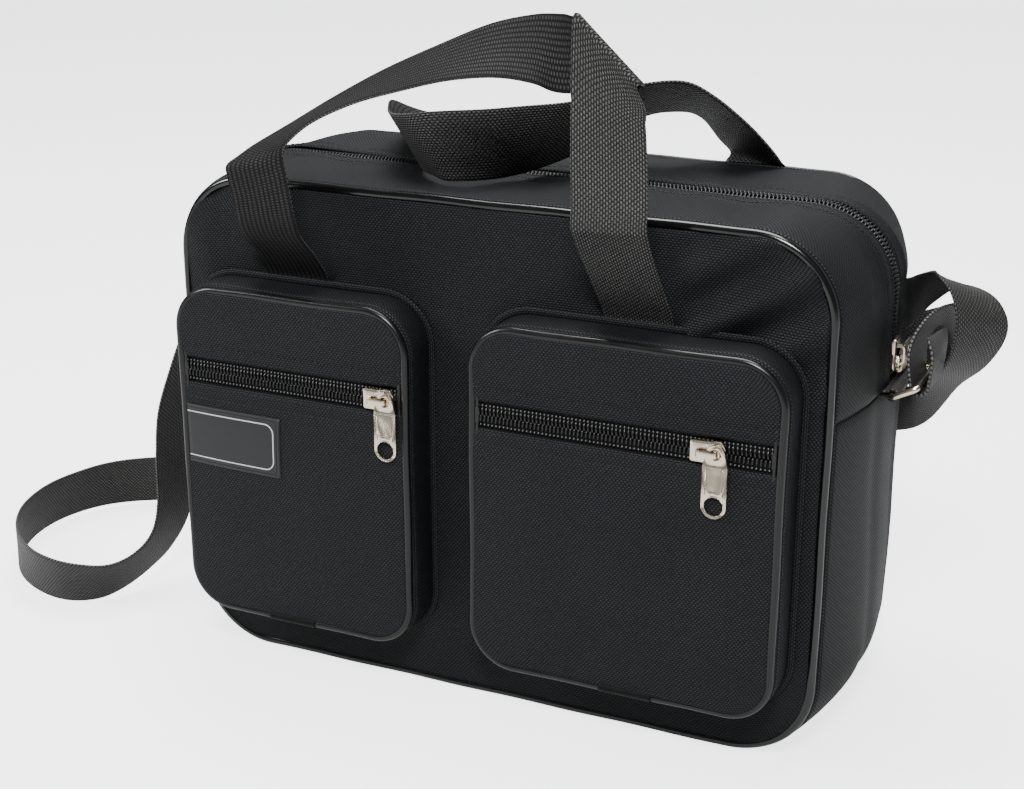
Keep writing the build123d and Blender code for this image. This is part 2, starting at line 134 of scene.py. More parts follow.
def slab(name, grid, uv, thick, material, wrap=False, flip=False, back_material=None):
    """A closed skin: the grid, and the same grid moved inwards by thick, which may vary."""
    normal = grid_normals(grid, wrap) * (-1 if flip else 1)
    inner = grid - normal * thick
    rows, cols = grid.shape[:2]
    points = np.concatenate([grid.reshape(-1, 3), inner.reshape(-1, 3)])
    uvs = np.concatenate([uv.reshape(-1, 2)] * 2)
    back = rows * cols
    faces = []
    spans = rows if wrap else rows - 1
    for i in range(spans):
        n = (i + 1) % rows
        for j in range(cols - 1):
            a, b, c, d = i * cols + j, n * cols + j, n * cols + j + 1, i * cols + j + 1
            faces.append((a, b, c, d))
            faces.append((back + d, back + c, back + b, back + a))
        faces.append((i * cols, back + i * cols, back + n * cols, n * cols))
        e = cols - 1
        faces.append((n * cols + e, back + n * cols + e, back + i * cols + e, i * cols + e))
    if not wrap:
        for j in range(cols - 1):
            faces.append((j + 1, back + j + 1, back + j, j))
            last = (rows - 1) * cols
            faces.append((last + j, back + last + j, back + last + j + 1, last + j + 1))
    piece = make_mesh(name, points, faces, uvs, material)
    if back_material:
        piece.data.materials.append(back_material)
        for polygon in piece.data.polygons:
            polygon.material_index = int(min(polygon.vertices) >= back)
    return face_out(piece)


print("sheet helper ready")

# %% [markdown]
# ## A swept skin
# Piping, seam ridges and tape sleeves are a small section carried along a line. A curve with a bevel
# would do it too. Sweeping by code keeps the section upright all the way round a closed line, and gives
# the skin a UV map in metres.

# %% A section carried along a line
def sweep(name, path, profile_of, material, closed=False, lifts=None, uv_across=None):
    """A skin whose cross-section at path[i] is profile_of(i): pairs (across, lift) in metres."""
    path = np.asarray(path, float)
    count = len(path)
    ahead = np.roll(path, -1, 0) - np.roll(path, 1, 0) if closed else np.gradient(path, axis=0)
    ahead /= np.linalg.norm(ahead, axis=1, keepdims=True)
    if lifts is None:
        lift = np.cross(ahead[0], [0.0, 1.0, 0.0])
        lifts = []
        for i in range(count):
            lift = lift - ahead[i] * np.dot(lift, ahead[i])
            lift = lift / np.linalg.norm(lift)
            lifts.append(lift)
        lifts = np.array(lifts)
    sides = np.cross(ahead, lifts)
    steps = np.linalg.norm(np.diff(path, axis=0), axis=1)
    run = np.concatenate([[0], np.cumsum(steps)])
    points, uvs = [], []
    ring = len(profile_of(0))
    for i in range(count):
        for k, (across, up) in enumerate(profile_of(i)):
            points.append(path[i] + sides[i] * across + lifts[i] * up)
            uvs.append((run[i], across if uv_across is None else uv_across(k)))
    faces = []
    for i in range(count if closed else count - 1):
        n = (i + 1) % count
        for k in range(ring):
            m = (k + 1) % ring
            faces.append((i * ring + k, n * ring + k, n * ring + m, i * ring + m))
    if not closed:
        faces.append(tuple(range(ring)))
        faces.append(tuple((count - 1) * ring + k for k in reversed(range(ring))))
    return face_out(make_mesh(name, points, faces, uvs, material))


def round_profile(radius, sides=14):
    turn = [2 * math.pi * k / sides for k in range(sides)]
    return [(radius * math.cos(a), radius * math.sin(a)) for a in turn]


print("sweep helper ready")

# %% [markdown]
# ## Finishes
# Each finish is a small node tree. The woven ones share a node group for their threads, which hands back
# only a mask and a height; the shader itself stays in the material. The colours are very dark, because
# black cloth gives back only a few parts in a thousand of the light that falls on it.

# %% Node helpers
def new_group(name, inputs, outputs):
    group = bpy.data.node_groups.new(name, "ShaderNodeTree")
    for label, kind, value in inputs:
        socket = group.interface.new_socket(label, in_out="INPUT", socket_type=kind)
        if value is not None:
            socket.default_value = value
    for label, kind in outputs:
        group.interface.new_socket(label, in_out="OUTPUT", socket_type=kind)
    return group, group.nodes.new("NodeGroupInput"), group.nodes.new("NodeGroupOutput")


def math_node(tree, kind, a, b=None):
    node = tree.nodes.new("ShaderNodeMath")
    node.operation = kind
    for slot_index, value in enumerate((a, b)):
        if value is None:
            continue
        if isinstance(value, (int, float)):
            node.inputs[slot_index].default_value = value
        else:
            tree.links.new(value, node.inputs[slot_index])
    return node.outputs[0]


def new_finish(name):
    material = bpy.data.materials.new(name)
    material.use_nodes = True
    return material, material.node_tree, material.node_tree.nodes["Principled BSDF"]


def noise_node(tree, scale, detail=None):
    """Noise fixed to the piece, not to its UV map."""
    place = tree.nodes.new("ShaderNodeTexCoord")
    noise = tree.nodes.new("ShaderNodeTexNoise")
    noise.inputs["Scale"].default_value = scale
    if detail is not None:
        noise.inputs["Detail"].default_value = detail
    tree.links.new(place.outputs["Object"], noise.inputs["Vector"])
    return noise.outputs[0]


def range_node(tree, value, low, high, socket):
    """Sends a value of 0 to 1 into a socket as low to high."""
    spread = tree.nodes.new("ShaderNodeMapRange")
    spread.inputs["To Min"].default_value = low
    spread.inputs["To Max"].default_value = high
    tree.links.new(value, spread.inputs[0])
    tree.links.new(spread.outputs[0], socket)


def mix_node(tree, factor, a, b):
    """Colour a where the factor is 0, and b where it is 1."""
    mix = tree.nodes.new("ShaderNodeMix")
    mix.data_type = "RGBA"
    mix.inputs["A"].default_value = (*a, 1)
    mix.inputs["B"].default_value = (*b, 1)
    tree.links.new(factor, mix.inputs["Factor"])
    return mix.outputs["Result"]


def bump_node(tree, relief, strength, depth, shader):
    bump = tree.nodes.new("ShaderNodeBump")
    bump.inputs["Strength"].default_value = strength
    bump.inputs["Distance"].default_value = depth
    tree.links.new(relief, bump.inputs["Height"])
    tree.links.new(bump.outputs[0], shader.inputs["Normal"])


FLOAT, VECTOR = "NodeSocketFloat", "NodeSocketVector"
print("node helpers ready")

# %% [markdown]
# ## The weave
# In a plain weave each thread passes over one crossing thread and under the next, so the cloth is a field
# of small rounded crowns in staggered rows. Two sine waves multiplied together give one crown in each
# cell. The group hands back the height for bump and gloss, and a sharper crown mask that places a
# painted highlight on each crown in the colour.

# %% Weave group: warp and weft threads that pass over and under each other
def weave_group(name, stagger):
    """Threads along and across the cloth; stagger shifts every second row by that share of a step."""
    tree, source, result = new_group(
        name, [("Cloth", VECTOR, None), ("Across", FLOAT, 0.001), ("Along", FLOAT, 0.001)],
        [("Height", FLOAT), ("Crown", FLOAT)])

    def rounded(step):
        """A row of rounded humps, one for each whole step."""
        wave = math_node(tree, "SINE", math_node(tree, "MULTIPLY", step, math.pi))
        return math_node(tree, "POWER", math_node(tree, "ABSOLUTE", wave), 0.6)

    split = tree.nodes.new("ShaderNodeSeparateXYZ")
    tree.links.new(source.outputs["Cloth"], split.inputs[0])
    along = math_node(tree, "DIVIDE", split.outputs[0], source.outputs["Along"])
    across = math_node(tree, "DIVIDE", split.outputs[1], source.outputs["Across"])
    rib = math_node(tree, "FLOOR", across)
    odd = math_node(tree, "PINGPONG", rib, 1.0)
    shifted = math_node(tree, "ADD", along, math_node(tree, "MULTIPLY", odd, stagger))
    height_of_thread = math_node(tree, "MULTIPLY", rounded(shifted), rounded(across))
    tree.links.new(height_of_thread, result.inputs["Height"])
    tree.links.new(math_node(tree, "POWER", height_of_thread, 3.0), result.inputs["Crown"])
    return tree


weave = weave_group("Thread weave", 0.5)
print("groups", [g.name for g in bpy.data.node_groups])

# %% [markdown]
# ## Cloth, webbing and tape
# All of them are black polyester. What the eye tells apart is the size of the threads, how much light
# their crowns catch, and how far they stand out. One builder takes those as values. The colour is
# near-black between the threads, the black cloth with painted shade in its gaps, and dark grey on the
# crowns, a painted highlight broken by fine noise, since no two threads shine alike.

# %% Cloth-like finishes share one builder
def woven(name, shade, crown_highlight, across, along, depth, rough=0.6, gloss=0.12, patch=0.4):
    """A woven finish: near-black with painted shade between threads, and a painted highlight on each crown.
    """
    material, tree, shader = new_finish(name)
    uv = tree.nodes.new("ShaderNodeUVMap")
    uv.uv_map = "UVMap"
    threads = tree.nodes.new("ShaderNodeGroup")
    threads.node_tree = weave
    tree.links.new(uv.outputs[0], threads.inputs["Cloth"])
    threads.inputs["Across"].default_value = across
    threads.inputs["Along"].default_value = along
    # Painted highlight: the crown mask, broken by fine noise, mixes the colour towards the highlight colour.
    fine = math_node(tree, "MULTIPLY", noise_node(tree, 900.0), 1.6)
    glint = math_node(tree, "MULTIPLY", threads.outputs["Crown"], fine)
    tint = tree.nodes.new("ShaderNodeMix")
    tint.data_type = "RGBA"
    tint.blend_type = "MULTIPLY"
    tint.inputs["Factor"].default_value = patch
    tree.links.new(mix_node(tree, glint, shade, crown_highlight), tint.inputs["A"])
    tree.links.new(noise_node(tree, 26.0, 5.0), tint.inputs["B"])
    tree.links.new(tint.outputs["Result"], shader.inputs["Base Color"])
    relief = threads.outputs["Height"]
    bump_node(tree, relief, 0.9, depth, shader)
    range_node(tree, relief, min(rough + 0.25, 1), rough - 0.1, shader.inputs["Roughness"])
    shader.inputs["Specular IOR Level"].default_value = gloss
    return material


# First colour: black cloth with painted shade between threads; second: painted highlight on the crowns.
oxford = woven("Oxford cloth", (0.0012, 0.0013, 0.0015), (0.026, 0.030, 0.033), 1.25 * MM, 2.1 * MM,
               0.32 * MM, rough=0.52, gloss=0.13)
webbing_finish = woven("Webbing", (0.0022, 0.0022, 0.0022), (0.115, 0.113, 0.108), 1.4 * MM, 2.35 * MM,
                       0.6 * MM, rough=0.46, gloss=0.22)
webbing_back = woven("Webbing inner face", (0.0018, 0.0018, 0.0018), (0.034, 0.0335, 0.033),
                     3.0 * MM, 1.4 * MM, 0.3 * MM, rough=0.6)
tape_finish = woven("Zip tape", (0.0015, 0.0015, 0.0017), (0.009, 0.009, 0.0095),
                    0.7 * MM, 0.9 * MM, 0.12 * MM)
sleeve_finish = woven("Ribbed tape", (0.002, 0.002, 0.0022), (0.016, 0.016, 0.017),
                      9.0 * MM, 0.9 * MM, 0.3 * MM)
print("woven finishes made")

# %% [markdown]
# ## Vinyl, nylon, thread, nickel and rubber
# These have no pattern, but none of them is perfectly even: handling leaves some places glossier. One
# builder lets a noise move the colour and the roughness a little and raise a faint grain. Vinyl piping is
# the glossiest of the soft parts, and its lines of light draw the bag's outline.

# %% Vinyl, nylon, thread, nickel and label finishes
def plain(name, color, rough, metallic=0.0, coat=0.0, grain=0.0, scale=300.0, spread=0.25, gloss=0.5):
    """A moulded or plated finish with faint unevenness in its gloss."""
    material, tree, shader = new_finish(name)
    noise = noise_node(tree, scale, 6.0)
    darker, paler = [c * (1 - spread) for c in color], [min(c * (1 + spread), 1) for c in color]
    tree.links.new(mix_node(tree, noise, darker, paler), shader.inputs["Base Color"])
    range_node(tree, noise, rough * 0.75, rough * 1.35, shader.inputs["Roughness"])
    bump_node(tree, noise, 0.5, grain, shader)
    shader.inputs["Metallic"].default_value = metallic
    shader.inputs["Specular IOR Level"].default_value = gloss
    shader.inputs["Coat Weight"].default_value = coat
    shader.inputs["Coat Roughness"].default_value = 0.12
    return material


vinyl = plain("Vinyl piping", (0.0028, 0.0028, 0.003), 0.17, coat=0.15, grain=0.01 * MM, scale=120,
              gloss=0.36)
dull_vinyl = plain("Duller vinyl", (0.003, 0.003, 0.0033), 0.28, grain=0.015 * MM, scale=150, gloss=0.32)
nylon = plain("Nylon coil", (0.004, 0.004, 0.0045), 0.32, coat=0.1, grain=0.02 * MM, scale=700, gloss=0.28)
thread = plain("Sewing thread", (0.005, 0.005, 0.0055), 0.5, grain=0.05 * MM, scale=1500, gloss=0.25)
pale_thread = plain("Coil sewing thread", (0.085, 0.085, 0.085), 0.5, grain=0.05 * MM, scale=1500,
                    gloss=0.3)
nickel = plain("Warm nickel", (0.66, 0.58, 0.46), 0.24, metallic=1.0, grain=0.03 * MM, scale=160,
               spread=0.08)
rubber = plain("Label rubber", (0.010, 0.0105, 0.011), 0.5, grain=0.06 * MM, scale=800, gloss=0.3)
pale_line = plain("Label line", (0.36, 0.37, 0.37), 0.5, grain=0.04 * MM, scale=900, spread=0.1)
board_finish = plain("Base board", (0.02, 0.02, 0.021), 0.7, grain=0.05 * MM, scale=200)
print("solid finishes made")

# %% [markdown]
# ## The outline that everything follows
# The bag is a rounded rectangle seen from the front, and its filled sides stand out at mid depth. One
# function gives a point on that form for a distance round the outline and a depth. The shell, piping,
# zip and stitches all read it, so they stay together.

# %% Outline of a rounded rectangle
def outline(x_low, x_high, z_low, z_high, radius, step):
    """Points, outward normals and distance, anticlockwise from the right end of the bottom edge."""
    rows = []
    corners = [((x_high - radius, z_low + radius), -90), ((x_high - radius, z_high - radius), 0),
               ((x_low + radius, z_high - radius), 90), ((x_low + radius, z_low + radius), 180)]
    turns = max(6, int(radius * math.pi / 2 / step))
    for index, (centre, start) in enumerate(corners):
        for k in range(turns + 1):
            angle = math.radians(start + 90 * k / turns)
            normal = (math.cos(angle), math.sin(angle))
            rows.append((centre[0] + radius * normal[0], centre[1] + radius * normal[1], *normal))
        after = corners[(index + 1) % 4][0]
        end = (rows[-1][0], rows[-1][1])
        angle = math.radians(start + 90)
        normal = (math.cos(angle), math.sin(angle))
        far = (after[0] + radius * normal[0], after[1] + radius * normal[1])
        gaps = max(1, int(math.dist(end, far) / step))
        for k in range(1, gaps):
            t = k / gaps
            rows.append((end[0] + (far[0] - end[0]) * t, end[1] + (far[1] - end[1]) * t, *normal))
    rows = np.array(rows)
    gaps = np.linalg.norm(np.roll(rows[:, :2], -1, 0) - rows[:, :2], axis=1)
    run = np.concatenate([[0], np.cumsum(gaps)[:-1]])
    return rows, run


body_rows, body_run = outline(-half_width, half_width, 0, height, corner, 3 * MM)
print("outline points", len(body_rows), "perimeter", round(float(body_run[-1]), 3))

# %% [markdown]
# ## The filled form of the gusset
# A flat gusset would look like a box. Cloth round a full bag bulges between its seams, sinks under its
# stitch rows and creases where a side is pressed. Each of these is a small term added to one height, so
# the cloth, the zip and the stitches that read it move together.

# %% Bulge, handling, hem and creases
hem_edge = 19 * MM                         # where the turned hem beside the zip ends
zip_stitch_rows = (9.2 * MM, 16 * MM)      # the two rows of stitches on each side of the zip


def bump_at(distance, width):
    """A smooth hump, 1 where the distance is nothing and small beyond its width."""
    return math.exp(-(distance / width) ** 2)


def bulge_at(y):
    return side_bulge * (1 - (y / rear_y) ** 2)


def handling(x, z):
    """Soft unevenness of the filled sides and top, zero along the base."""
    wave = math.sin(31 * x + 0.6) * math.sin(23 * z + 1.1) + 0.5 * math.sin(57 * z + 17 * x)
    return 0.9 * MM * wave * min(1.0, z / 0.08)


def surface_lift(row, y):
    """Height of the gusset cloth over the plain form: hem, grooves, handling, seam and creases."""
    x, z = row[0], row[1]
    away = abs(y)
    held = 1 - (y / rear_y) ** 2
    lift = handling(x, z) * held
    if z > seam_z:
        lift += 0.8 * MM / (1 + math.exp((away - hem_edge) / (0.8 * MM)))
        lift -= sum(0.4 * MM * bump_at(away - row_at, 0.9 * MM) for row_at in zip_stitch_rows)
        lift += 0.8 * MM * math.sin(170 * (x + z) + 60 * y) * held * min(1, (away - 7 * MM) / 0.01)
    lift -= 1.3 * MM * bump_at(z - seam_z, 1.5 * MM)
    on_side = max(0.0, abs(x) / half_width - 0.8)
    crease_y = 0.030 + 0.016 * math.sin(11 * z + 1)
    lift += 1.6 * MM * bump_at(y - crease_y, 5 * MM) * on_side * 5 * min(1, z / 0.1)
    lift -= 1.4 * MM * bump_at(y + 0.012 + 0.1 * (z - 0.1), 9 * MM) * on_side * 4 * held
    return lift


def body_point(row, y, out=0.0):
    """A point on the bag's form at depth y, moved outwards by out."""
    x, z, normal_x, normal_z = row
    x, z = x + normal_x * out, z + normal_z * out
    straight = half_width - corner
    share = max(-1.0, min(1.0, x / straight))
    return (x + bulge_at(y) * share, y, z)


print("bulge at the middle of a side", round(bulge_at(0.0), 4))

# %% [markdown]
# ## Cloth cut to a rounded rectangle
# A grid has square corners, and the panels don't. Filling the outline with a fan of triangles would
# pinch the weave, so the square corners of an even grid are pressed into quarter discs instead. The UV
# map keeps the unpressed grid, as threads in cloth run straight to the seam.

# %% Panels: a rounded rectangle filled with an even grid
def panel_grid(x_low, x_high, z_low, z_high, radius, step, round_low=True, round_high=True):
    """Grid of (x, z). Each rounded corner's square is pressed into a quarter disc."""
    def ticks(low, high, first, last):
        inner_low = low + (radius if first else 0)
        inner_high = high - (radius if last else 0)
        part = [np.linspace(inner_low, inner_high, max(2, int((inner_high - inner_low) / step) + 1))]
        arc = max(5, int(radius / step) + 1)
        if first:
            part.insert(0, np.linspace(low, inner_low, arc)[:-1])
        if last:
            part.append(np.linspace(inner_high, high, arc)[1:])
        return np.concatenate(part)

    xs = ticks(x_low, x_high, True, True)
    zs = ticks(z_low, z_high, round_low, round_high)
    grid_x, grid_z = np.meshgrid(xs, zs, indexing="ij")
    out_x, out_z = grid_x.copy(), grid_z.copy()
    for side_x, centre_x in ((-1, x_low + radius), (1, x_high - radius)):
        for side_z, centre_z, used in ((-1, z_low + radius, round_low), (1, z_high - radius, round_high)):
            if not used:
                continue
            a = (grid_x - centre_x) * side_x / radius
            b = (grid_z - centre_z) * side_z / radius
            inside = (a > 0) & (b > 0)
            a, b = np.clip(a, 0, 1), np.clip(b, 0, 1)
            new_x = centre_x + side_x * radius * a * np.sqrt(1 - b * b / 2)
            new_z = centre_z + side_z * radius * b * np.sqrt(1 - a * a / 2)
            out_x[inside] = new_x[inside]
            out_z[inside] = new_z[inside]
    return out_x, out_z, grid_x, grid_z


def crown(t):
    """0 at both ends of 0..1 and flat in the middle, like cloth held by its edges."""
    return 1 - np.abs(2 * np.clip(t, 0, 1) - 1) ** 4


print("panel grid ready")

# %% [markdown]
# ## Front and back panels
# Each panel is one flat cut of lined cloth, held all round by the piping seam. It dips into the groove
# beside the piping, swells a little over the contents, and creases softly where the handle pulls.

# %% Front and back panels
def foot_press(x, z, feet_x):
    """1 under each sewn foot of a handle, where the webbing holds the cloth flat."""
    press = 0 * x
    for foot_x in feet_x:
        side = np.clip((27 * MM - np.abs(x - foot_x)) / (8 * MM), 0, 1)
        press = np.maximum(press, side * np.clip((z - 0.186) / 0.008, 0, 1))
    return press


panel_inset = 2.9 * MM      # the panel's cloth starts inside the piping
seam_dip = 1.4 * MM         # how deep it starts, behind the front of the piping


def body_panel(name, y_edge, outwards, node, folds, feet_x):
    gx, gz, u, v = panel_grid(-half_width + panel_inset, half_width - panel_inset, panel_inset,
                              height - panel_inset, corner - panel_inset, 3 * MM)
    s = (gx + half_width) / (2 * half_width)
    t = gz / height
    edge = np.minimum(crown(s), crown(t))
    dip = np.clip(edge * 9, 0, 1)
    swell = (3.2 if outwards < 0 else 2.2) * MM * crown(s) * crown(t)
    press = foot_press(gx, gz, feet_x)
    depth = (dip - 1) * seam_dip + (swell + folds(gx, gz) * dip) * (1 - press) - 0.6 * MM * press
    grid = np.stack([gx, y_edge + outwards * depth, gz], axis=2)
    piece = slab(name, grid, np.stack([u, v], axis=2), cloth_thick, oxford, flip=outwards > 0)
    belongs(piece, node)
    return piece


def front_folds(x, z):
    """Broad diagonal folds from the right handle foot to the corner, and a slack along the top edge."""
    reach = np.exp(-(((x - 0.145) / 0.055) ** 2 + ((z - 0.238) / 0.045) ** 2))
    diagonal = np.sin((0.52 * x - 0.85 * z) * 2 * math.pi / 0.028 + 0.6)
    left = np.exp(-(((x + 0.165) / 0.03) ** 2 + ((z - 0.25) / 0.06) ** 2))
    lean = np.sin((0.9 * x + 0.3 * z) * 2 * math.pi / 0.05)
    middle = np.exp(-(((x + 0.01) / 0.07) ** 2 + ((z - 0.25) / 0.035) ** 2))
    return 3.4 * MM * reach * diagonal + 2.2 * MM * left * lean - 2.4 * MM * middle


def back_folds(x, z):
    return 1.2 * MM * np.sin(14 * x + 1.0) * np.sin(19 * z)


front_cloth = body_panel("front_panel_cloth", front_y, -1, "front_panel", front_folds, (-0.113, 0.0875))
back_cloth = body_panel("back_panel_cloth", rear_y, 1, "back_panel", back_folds, (-0.100, 0.101))
print("panels", front_cloth.name, back_cloth.name)

# %% [markdown]
# ## Gusset strips
# The lower gusset is one long U of cloth, and two strips above it hold the main zip. The strips' zip
# edges are turned under, so each has a soft rolled lip that half hides the zip tape.

# %% Gusset strips
window = 7 * MM             # half the opening between the strips, where the zip shows
turned_under = 1.2 * MM     # how far a sewn edge sinks at its seam
seam_edge_front = front_y + seam_allowance
seam_edge_rear = rear_y - seam_allowance


def rows_between(z_low, upper):
    """Outline rows above or below a height, in order along the strip."""
    keep = [i for i, row in enumerate(body_rows) if (row[1] > z_low) == upper]
    if not upper:
        split = next(k for k in range(len(keep) - 1) if keep[k + 1] != keep[k] + 1)
        keep = keep[split + 1:] + keep[:split + 1]
    return keep


def end_row(row, z):
    row = np.array(row)
    row[1] = z
    return row


def strip_rows(upper):
    keep = [body_rows[i] for i in rows_between(seam_z, upper)]
    return [end_row(keep[0], seam_z)] + keep + [end_row(keep[-1], seam_z)]


def gusset_strip(name, node, rows, ys, outs, width):
    run = 0.0
    grid, uv = [], []
    for i, row in enumerate(rows):
        if i:
            run += math.dist(row[:2], rows[i - 1][:2])
        line = [body_point(row, y, out + surface_lift(row, y)) for y, out in zip(ys, outs)]
        grid.append(line)
        uv.append([(run, y) for y in ys])
    piece = slab(name, np.array(grid), np.array(uv), cloth_thick, oxford, flip=True)
    belongs(piece, node)
    print(name, "cut", round(width, 3), "x", round(run, 3))
    return piece


def hemmed(y_from, y_to, lip):
    """Depths and offsets from a plain edge to a rolled lip."""
    sign = 1 if y_to > y_from else -1
    ys = list(np.linspace(y_from, y_to - sign * 1.5 * MM, 48))
    outs = [-turned_under] + [0.0] * (len(ys) - 1)
    for angle in (0, 30, 60, 90, 125):
        a = math.radians(angle)
        ys.append(y_to - sign * (1.2 * MM - 1.2 * MM * math.sin(a)))
        outs.append(lip * (math.cos(a) - 1) + 0.35 * MM)
    return ys, outs


low_ys = list(np.linspace(seam_edge_front, seam_edge_rear, 72))
low_outs = [-turned_under] + [0.0] * 70 + [-turned_under]
gusset_strip("lower_gusset_cloth", "lower_gusset", strip_rows(False), low_ys, low_outs, rear_y - front_y)
for name, side in (("zip_gusset_front", -1), ("zip_gusset_rear", 1)):
    far = seam_edge_front if side < 0 else seam_edge_rear
    ys, outs = hemmed(far, side * window, 1.3 * MM)
    if side > 0:
        ys, outs = ys[::-1], outs[::-1]
    gusset_strip(name + "_cloth", name, strip_rows(True), ys, outs, abs(far) - window)

# %% [markdown]
# ## Piping
# A vinyl-covered cord is caught in each edge seam. Its round bead catches the light, and the flat tail
# that it is sewn by raises a low ridge beside it. Both are swept along one outline, and a slight wobble
# keeps them from looking drawn with a ruler.

# %% Piping beads
def piping(name, node, rows, y, radius, finish, ridge_y, ridge_inset, ridge_r):
    """A round bead along the outline, and the low ridge that its flange raises beside it.

    On the body the ridge lies under the gusset's cloth, and on a pocket it is vinyl like the bead."""
    seam_finish = oxford if finish == vinyl else finish
    for part, at_y, inset, size, skin in (("bead", y, pipe_r, radius, finish),
                                          ("ridge", ridge_y, ridge_inset, ridge_r, seam_finish)):
        path = []
        for x, z, nx, nz in rows:
            wobble = 0.2 * MM * math.sin(90 * x + 70 * z)
            path.append((x - nx * (inset + wobble), at_y, z - nz * (inset + wobble)))
        piece = sweep(f"{name}_{part}", path, lambda i: round_profile(size, 16), skin, closed=True)
        belongs(piece, node if part == "bead" else None)


for name, y, way in (("front_piping", front_y, 1), ("rear_piping", rear_y, -1)):
    piping(name, name, body_rows, y + way * 1.7 * MM, pipe_r + 0.25 * MM, vinyl,
           y + way * 5.0 * MM, 0.7 * MM, 1.1 * MM)
print("body piping made")

# %% [markdown]
# ## Tools for modelling by hand
# The hard parts are made as at the screen: a primitive is added at its size, its faces or edges are
# picked and extruded or bevelled, and solids are joined or cut with a boolean. A new primitive or a
# loaded piece stays selected, so everything is deselected first. Picking is done by place and normal.

# %% Hand tools: primitives and picking in edit mode
def clear():
    if bpy.context.object and bpy.context.object.mode != "OBJECT":
        bpy.ops.object.mode_set(mode="OBJECT")
    bpy.ops.object.select_all(action="DESELECT")


def settle(piece, name):
    """Puts a new primitive's place and size into its mesh."""
    piece.name = name
    bpy.ops.object.transform_apply(location=True, rotation=True, scale=True)
    return piece


def block(name, low, high):
    """A box primitive between two corners, in millimetres."""
    clear()
    middle = [(a + b) / 2 * MM for a, b in zip(low, high)]
    bpy.ops.mesh.primitive_cube_add(size=1, location=middle)
    piece = bpy.context.object
    piece.scale = [(b - a) * MM for a, b in zip(low, high)]
    return settle(piece, name)


def rod(name, centre, radius, depth, vertices=48, turn=(0, 0, 0)):
    """A cylinder primitive, in millimetres; its axis is Z before turn."""
    clear()
    bpy.ops.mesh.primitive_cylinder_add(vertices=vertices, radius=radius * MM, depth=depth * MM,
                                        location=[c * MM for c in centre], rotation=turn)
    return settle(bpy.context.object, name)


def pick(piece, kind, test):
    """Edit mode with only the elements that pass test selected; kind is verts, edges or faces."""
    if piece.mode != "EDIT":
        clear()
        bpy.context.view_layer.objects.active = piece
        piece.select_set(True)
        bpy.ops.object.mode_set(mode="EDIT")
    bpy.ops.mesh.select_mode(type={"verts": "VERT", "edges": "EDGE", "faces": "FACE"}[kind])
    bpy.ops.mesh.select_all(action="DESELECT")
    shell = bmesh.from_edit_mesh(piece.data)
    shell.normal_update()
    for element in getattr(shell, kind):
        if test(element):
            element.select_set(True)
    bmesh.update_edit_mesh(piece.data)


def extrude(x, y, z):
    bpy.ops.mesh.extrude_region_move(TRANSFORM_OT_translate={"value": (x * MM, y * MM, z * MM)})


def resize(x, y, z, centre):
    bpy.ops.transform.resize(value=(x, y, z), center_override=[c * MM for c in centre])


print("primitives and picking ready")

# %% [markdown]
# ## Joining, rounding and copying
# Solids are joined and cut with a Boolean modifier, and their hard edges are rounded with a Bevel
# modifier, both applied at once. A shape that repeats hundreds of times, such as a stitch or a zip's
# loop, is modelled once, and its points are then copied to every place as one piece.

# %% Hand tools: booleans, bevels and copies
def combine(piece, other, operation):
    """Joins or cuts with a second solid, which is used up."""
    clear()
    bpy.context.view_layer.objects.active = piece
    piece.select_set(True)
    step = piece.modifiers.new("combine", "BOOLEAN")
    step.operation = operation
    step.object = other
    bpy.ops.object.modifier_apply(modifier=step.name)
    bpy.data.objects.remove(other)


def soften(piece, width, segments=2, angle=35):
    """Rounds the hard edges, then shades smoothly."""
    clear()
    bpy.context.view_layer.objects.active = piece
    piece.select_set(True)
    step = piece.modifiers.new("soften", "BEVEL")
    step.width = width * MM
    step.segments = segments
    step.limit_method = "ANGLE"
    step.angle_limit = math.radians(angle)
    bpy.ops.object.modifier_apply(modifier=step.name)
    bpy.ops.object.shade_smooth_by_angle(angle=math.radians(angle))


def take(piece):
    """A small shape's points and faces, ready to be copied; the object itself is used up."""
    points = np.array([tuple(v.co) for v in piece.data.vertices])
    faces = [tuple(p.vertices) for p in piece.data.polygons]
    bpy.data.objects.remove(piece)
    return points, faces


def copies(name, shape, frames, material, body="root"):
    """The small shape at every frame: origin, then its X, Y and Z directions."""
    points, faces = shape
    every, joined = [], []
    for k, (origin, x, y, z) in enumerate(frames):
        every.append(np.asarray(origin) + points @ np.array([x, y, z]))
        joined.extend(tuple(k * len(points) + v for v in face) for face in faces)
    every = np.concatenate(every)
    piece = face_out(make_mesh(name, every, joined, every[:, :2], material))
    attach(piece, body)
    return piece


print("hand tools ready")

# %% [markdown]
# ## One stitch
# Rows of lockstitch hold the hems. Each stitch is a short thread that rises from one hole and sinks into
# the next. It starts as a six-sided rod, whose end is extruded up, along and down again. It has few
# faces, because hundreds of copies follow.

# %% One stitch
stitch_length, stitch_gap, thread_r = 2.7, 0.9, 0.26     # millimetres
rise_run, rise = 0.35, 0.24
one_stitch = rod("stitch", (stitch_length * 0.2, 0, -0.1), thread_r * 0.55, 0.1, 6, (0, math.pi / 2, 0))
for x_step, z_step, grow in ((rise_run, rise, 1.8), (stitch_length * 0.6, 0, 1), (rise_run, -rise, 0.55)):
    pick(one_stitch, "faces", lambda face: face.normal.x > 0.6)
    extrude(x_step, 0, z_step)
    resize(1, grow, 1, (0, 0, 0))
clear()
stitch_shape = take(one_stitch)
print("stitch", len(stitch_shape[1]), "faces")

# %% [markdown]
# ## Rows of stitches
# An array modifier along a curve would do this too. Stepping along a line in code is simpler where each
# copy has to stand square to cloth that bulges, and a whole row is then one piece with its own mesh.

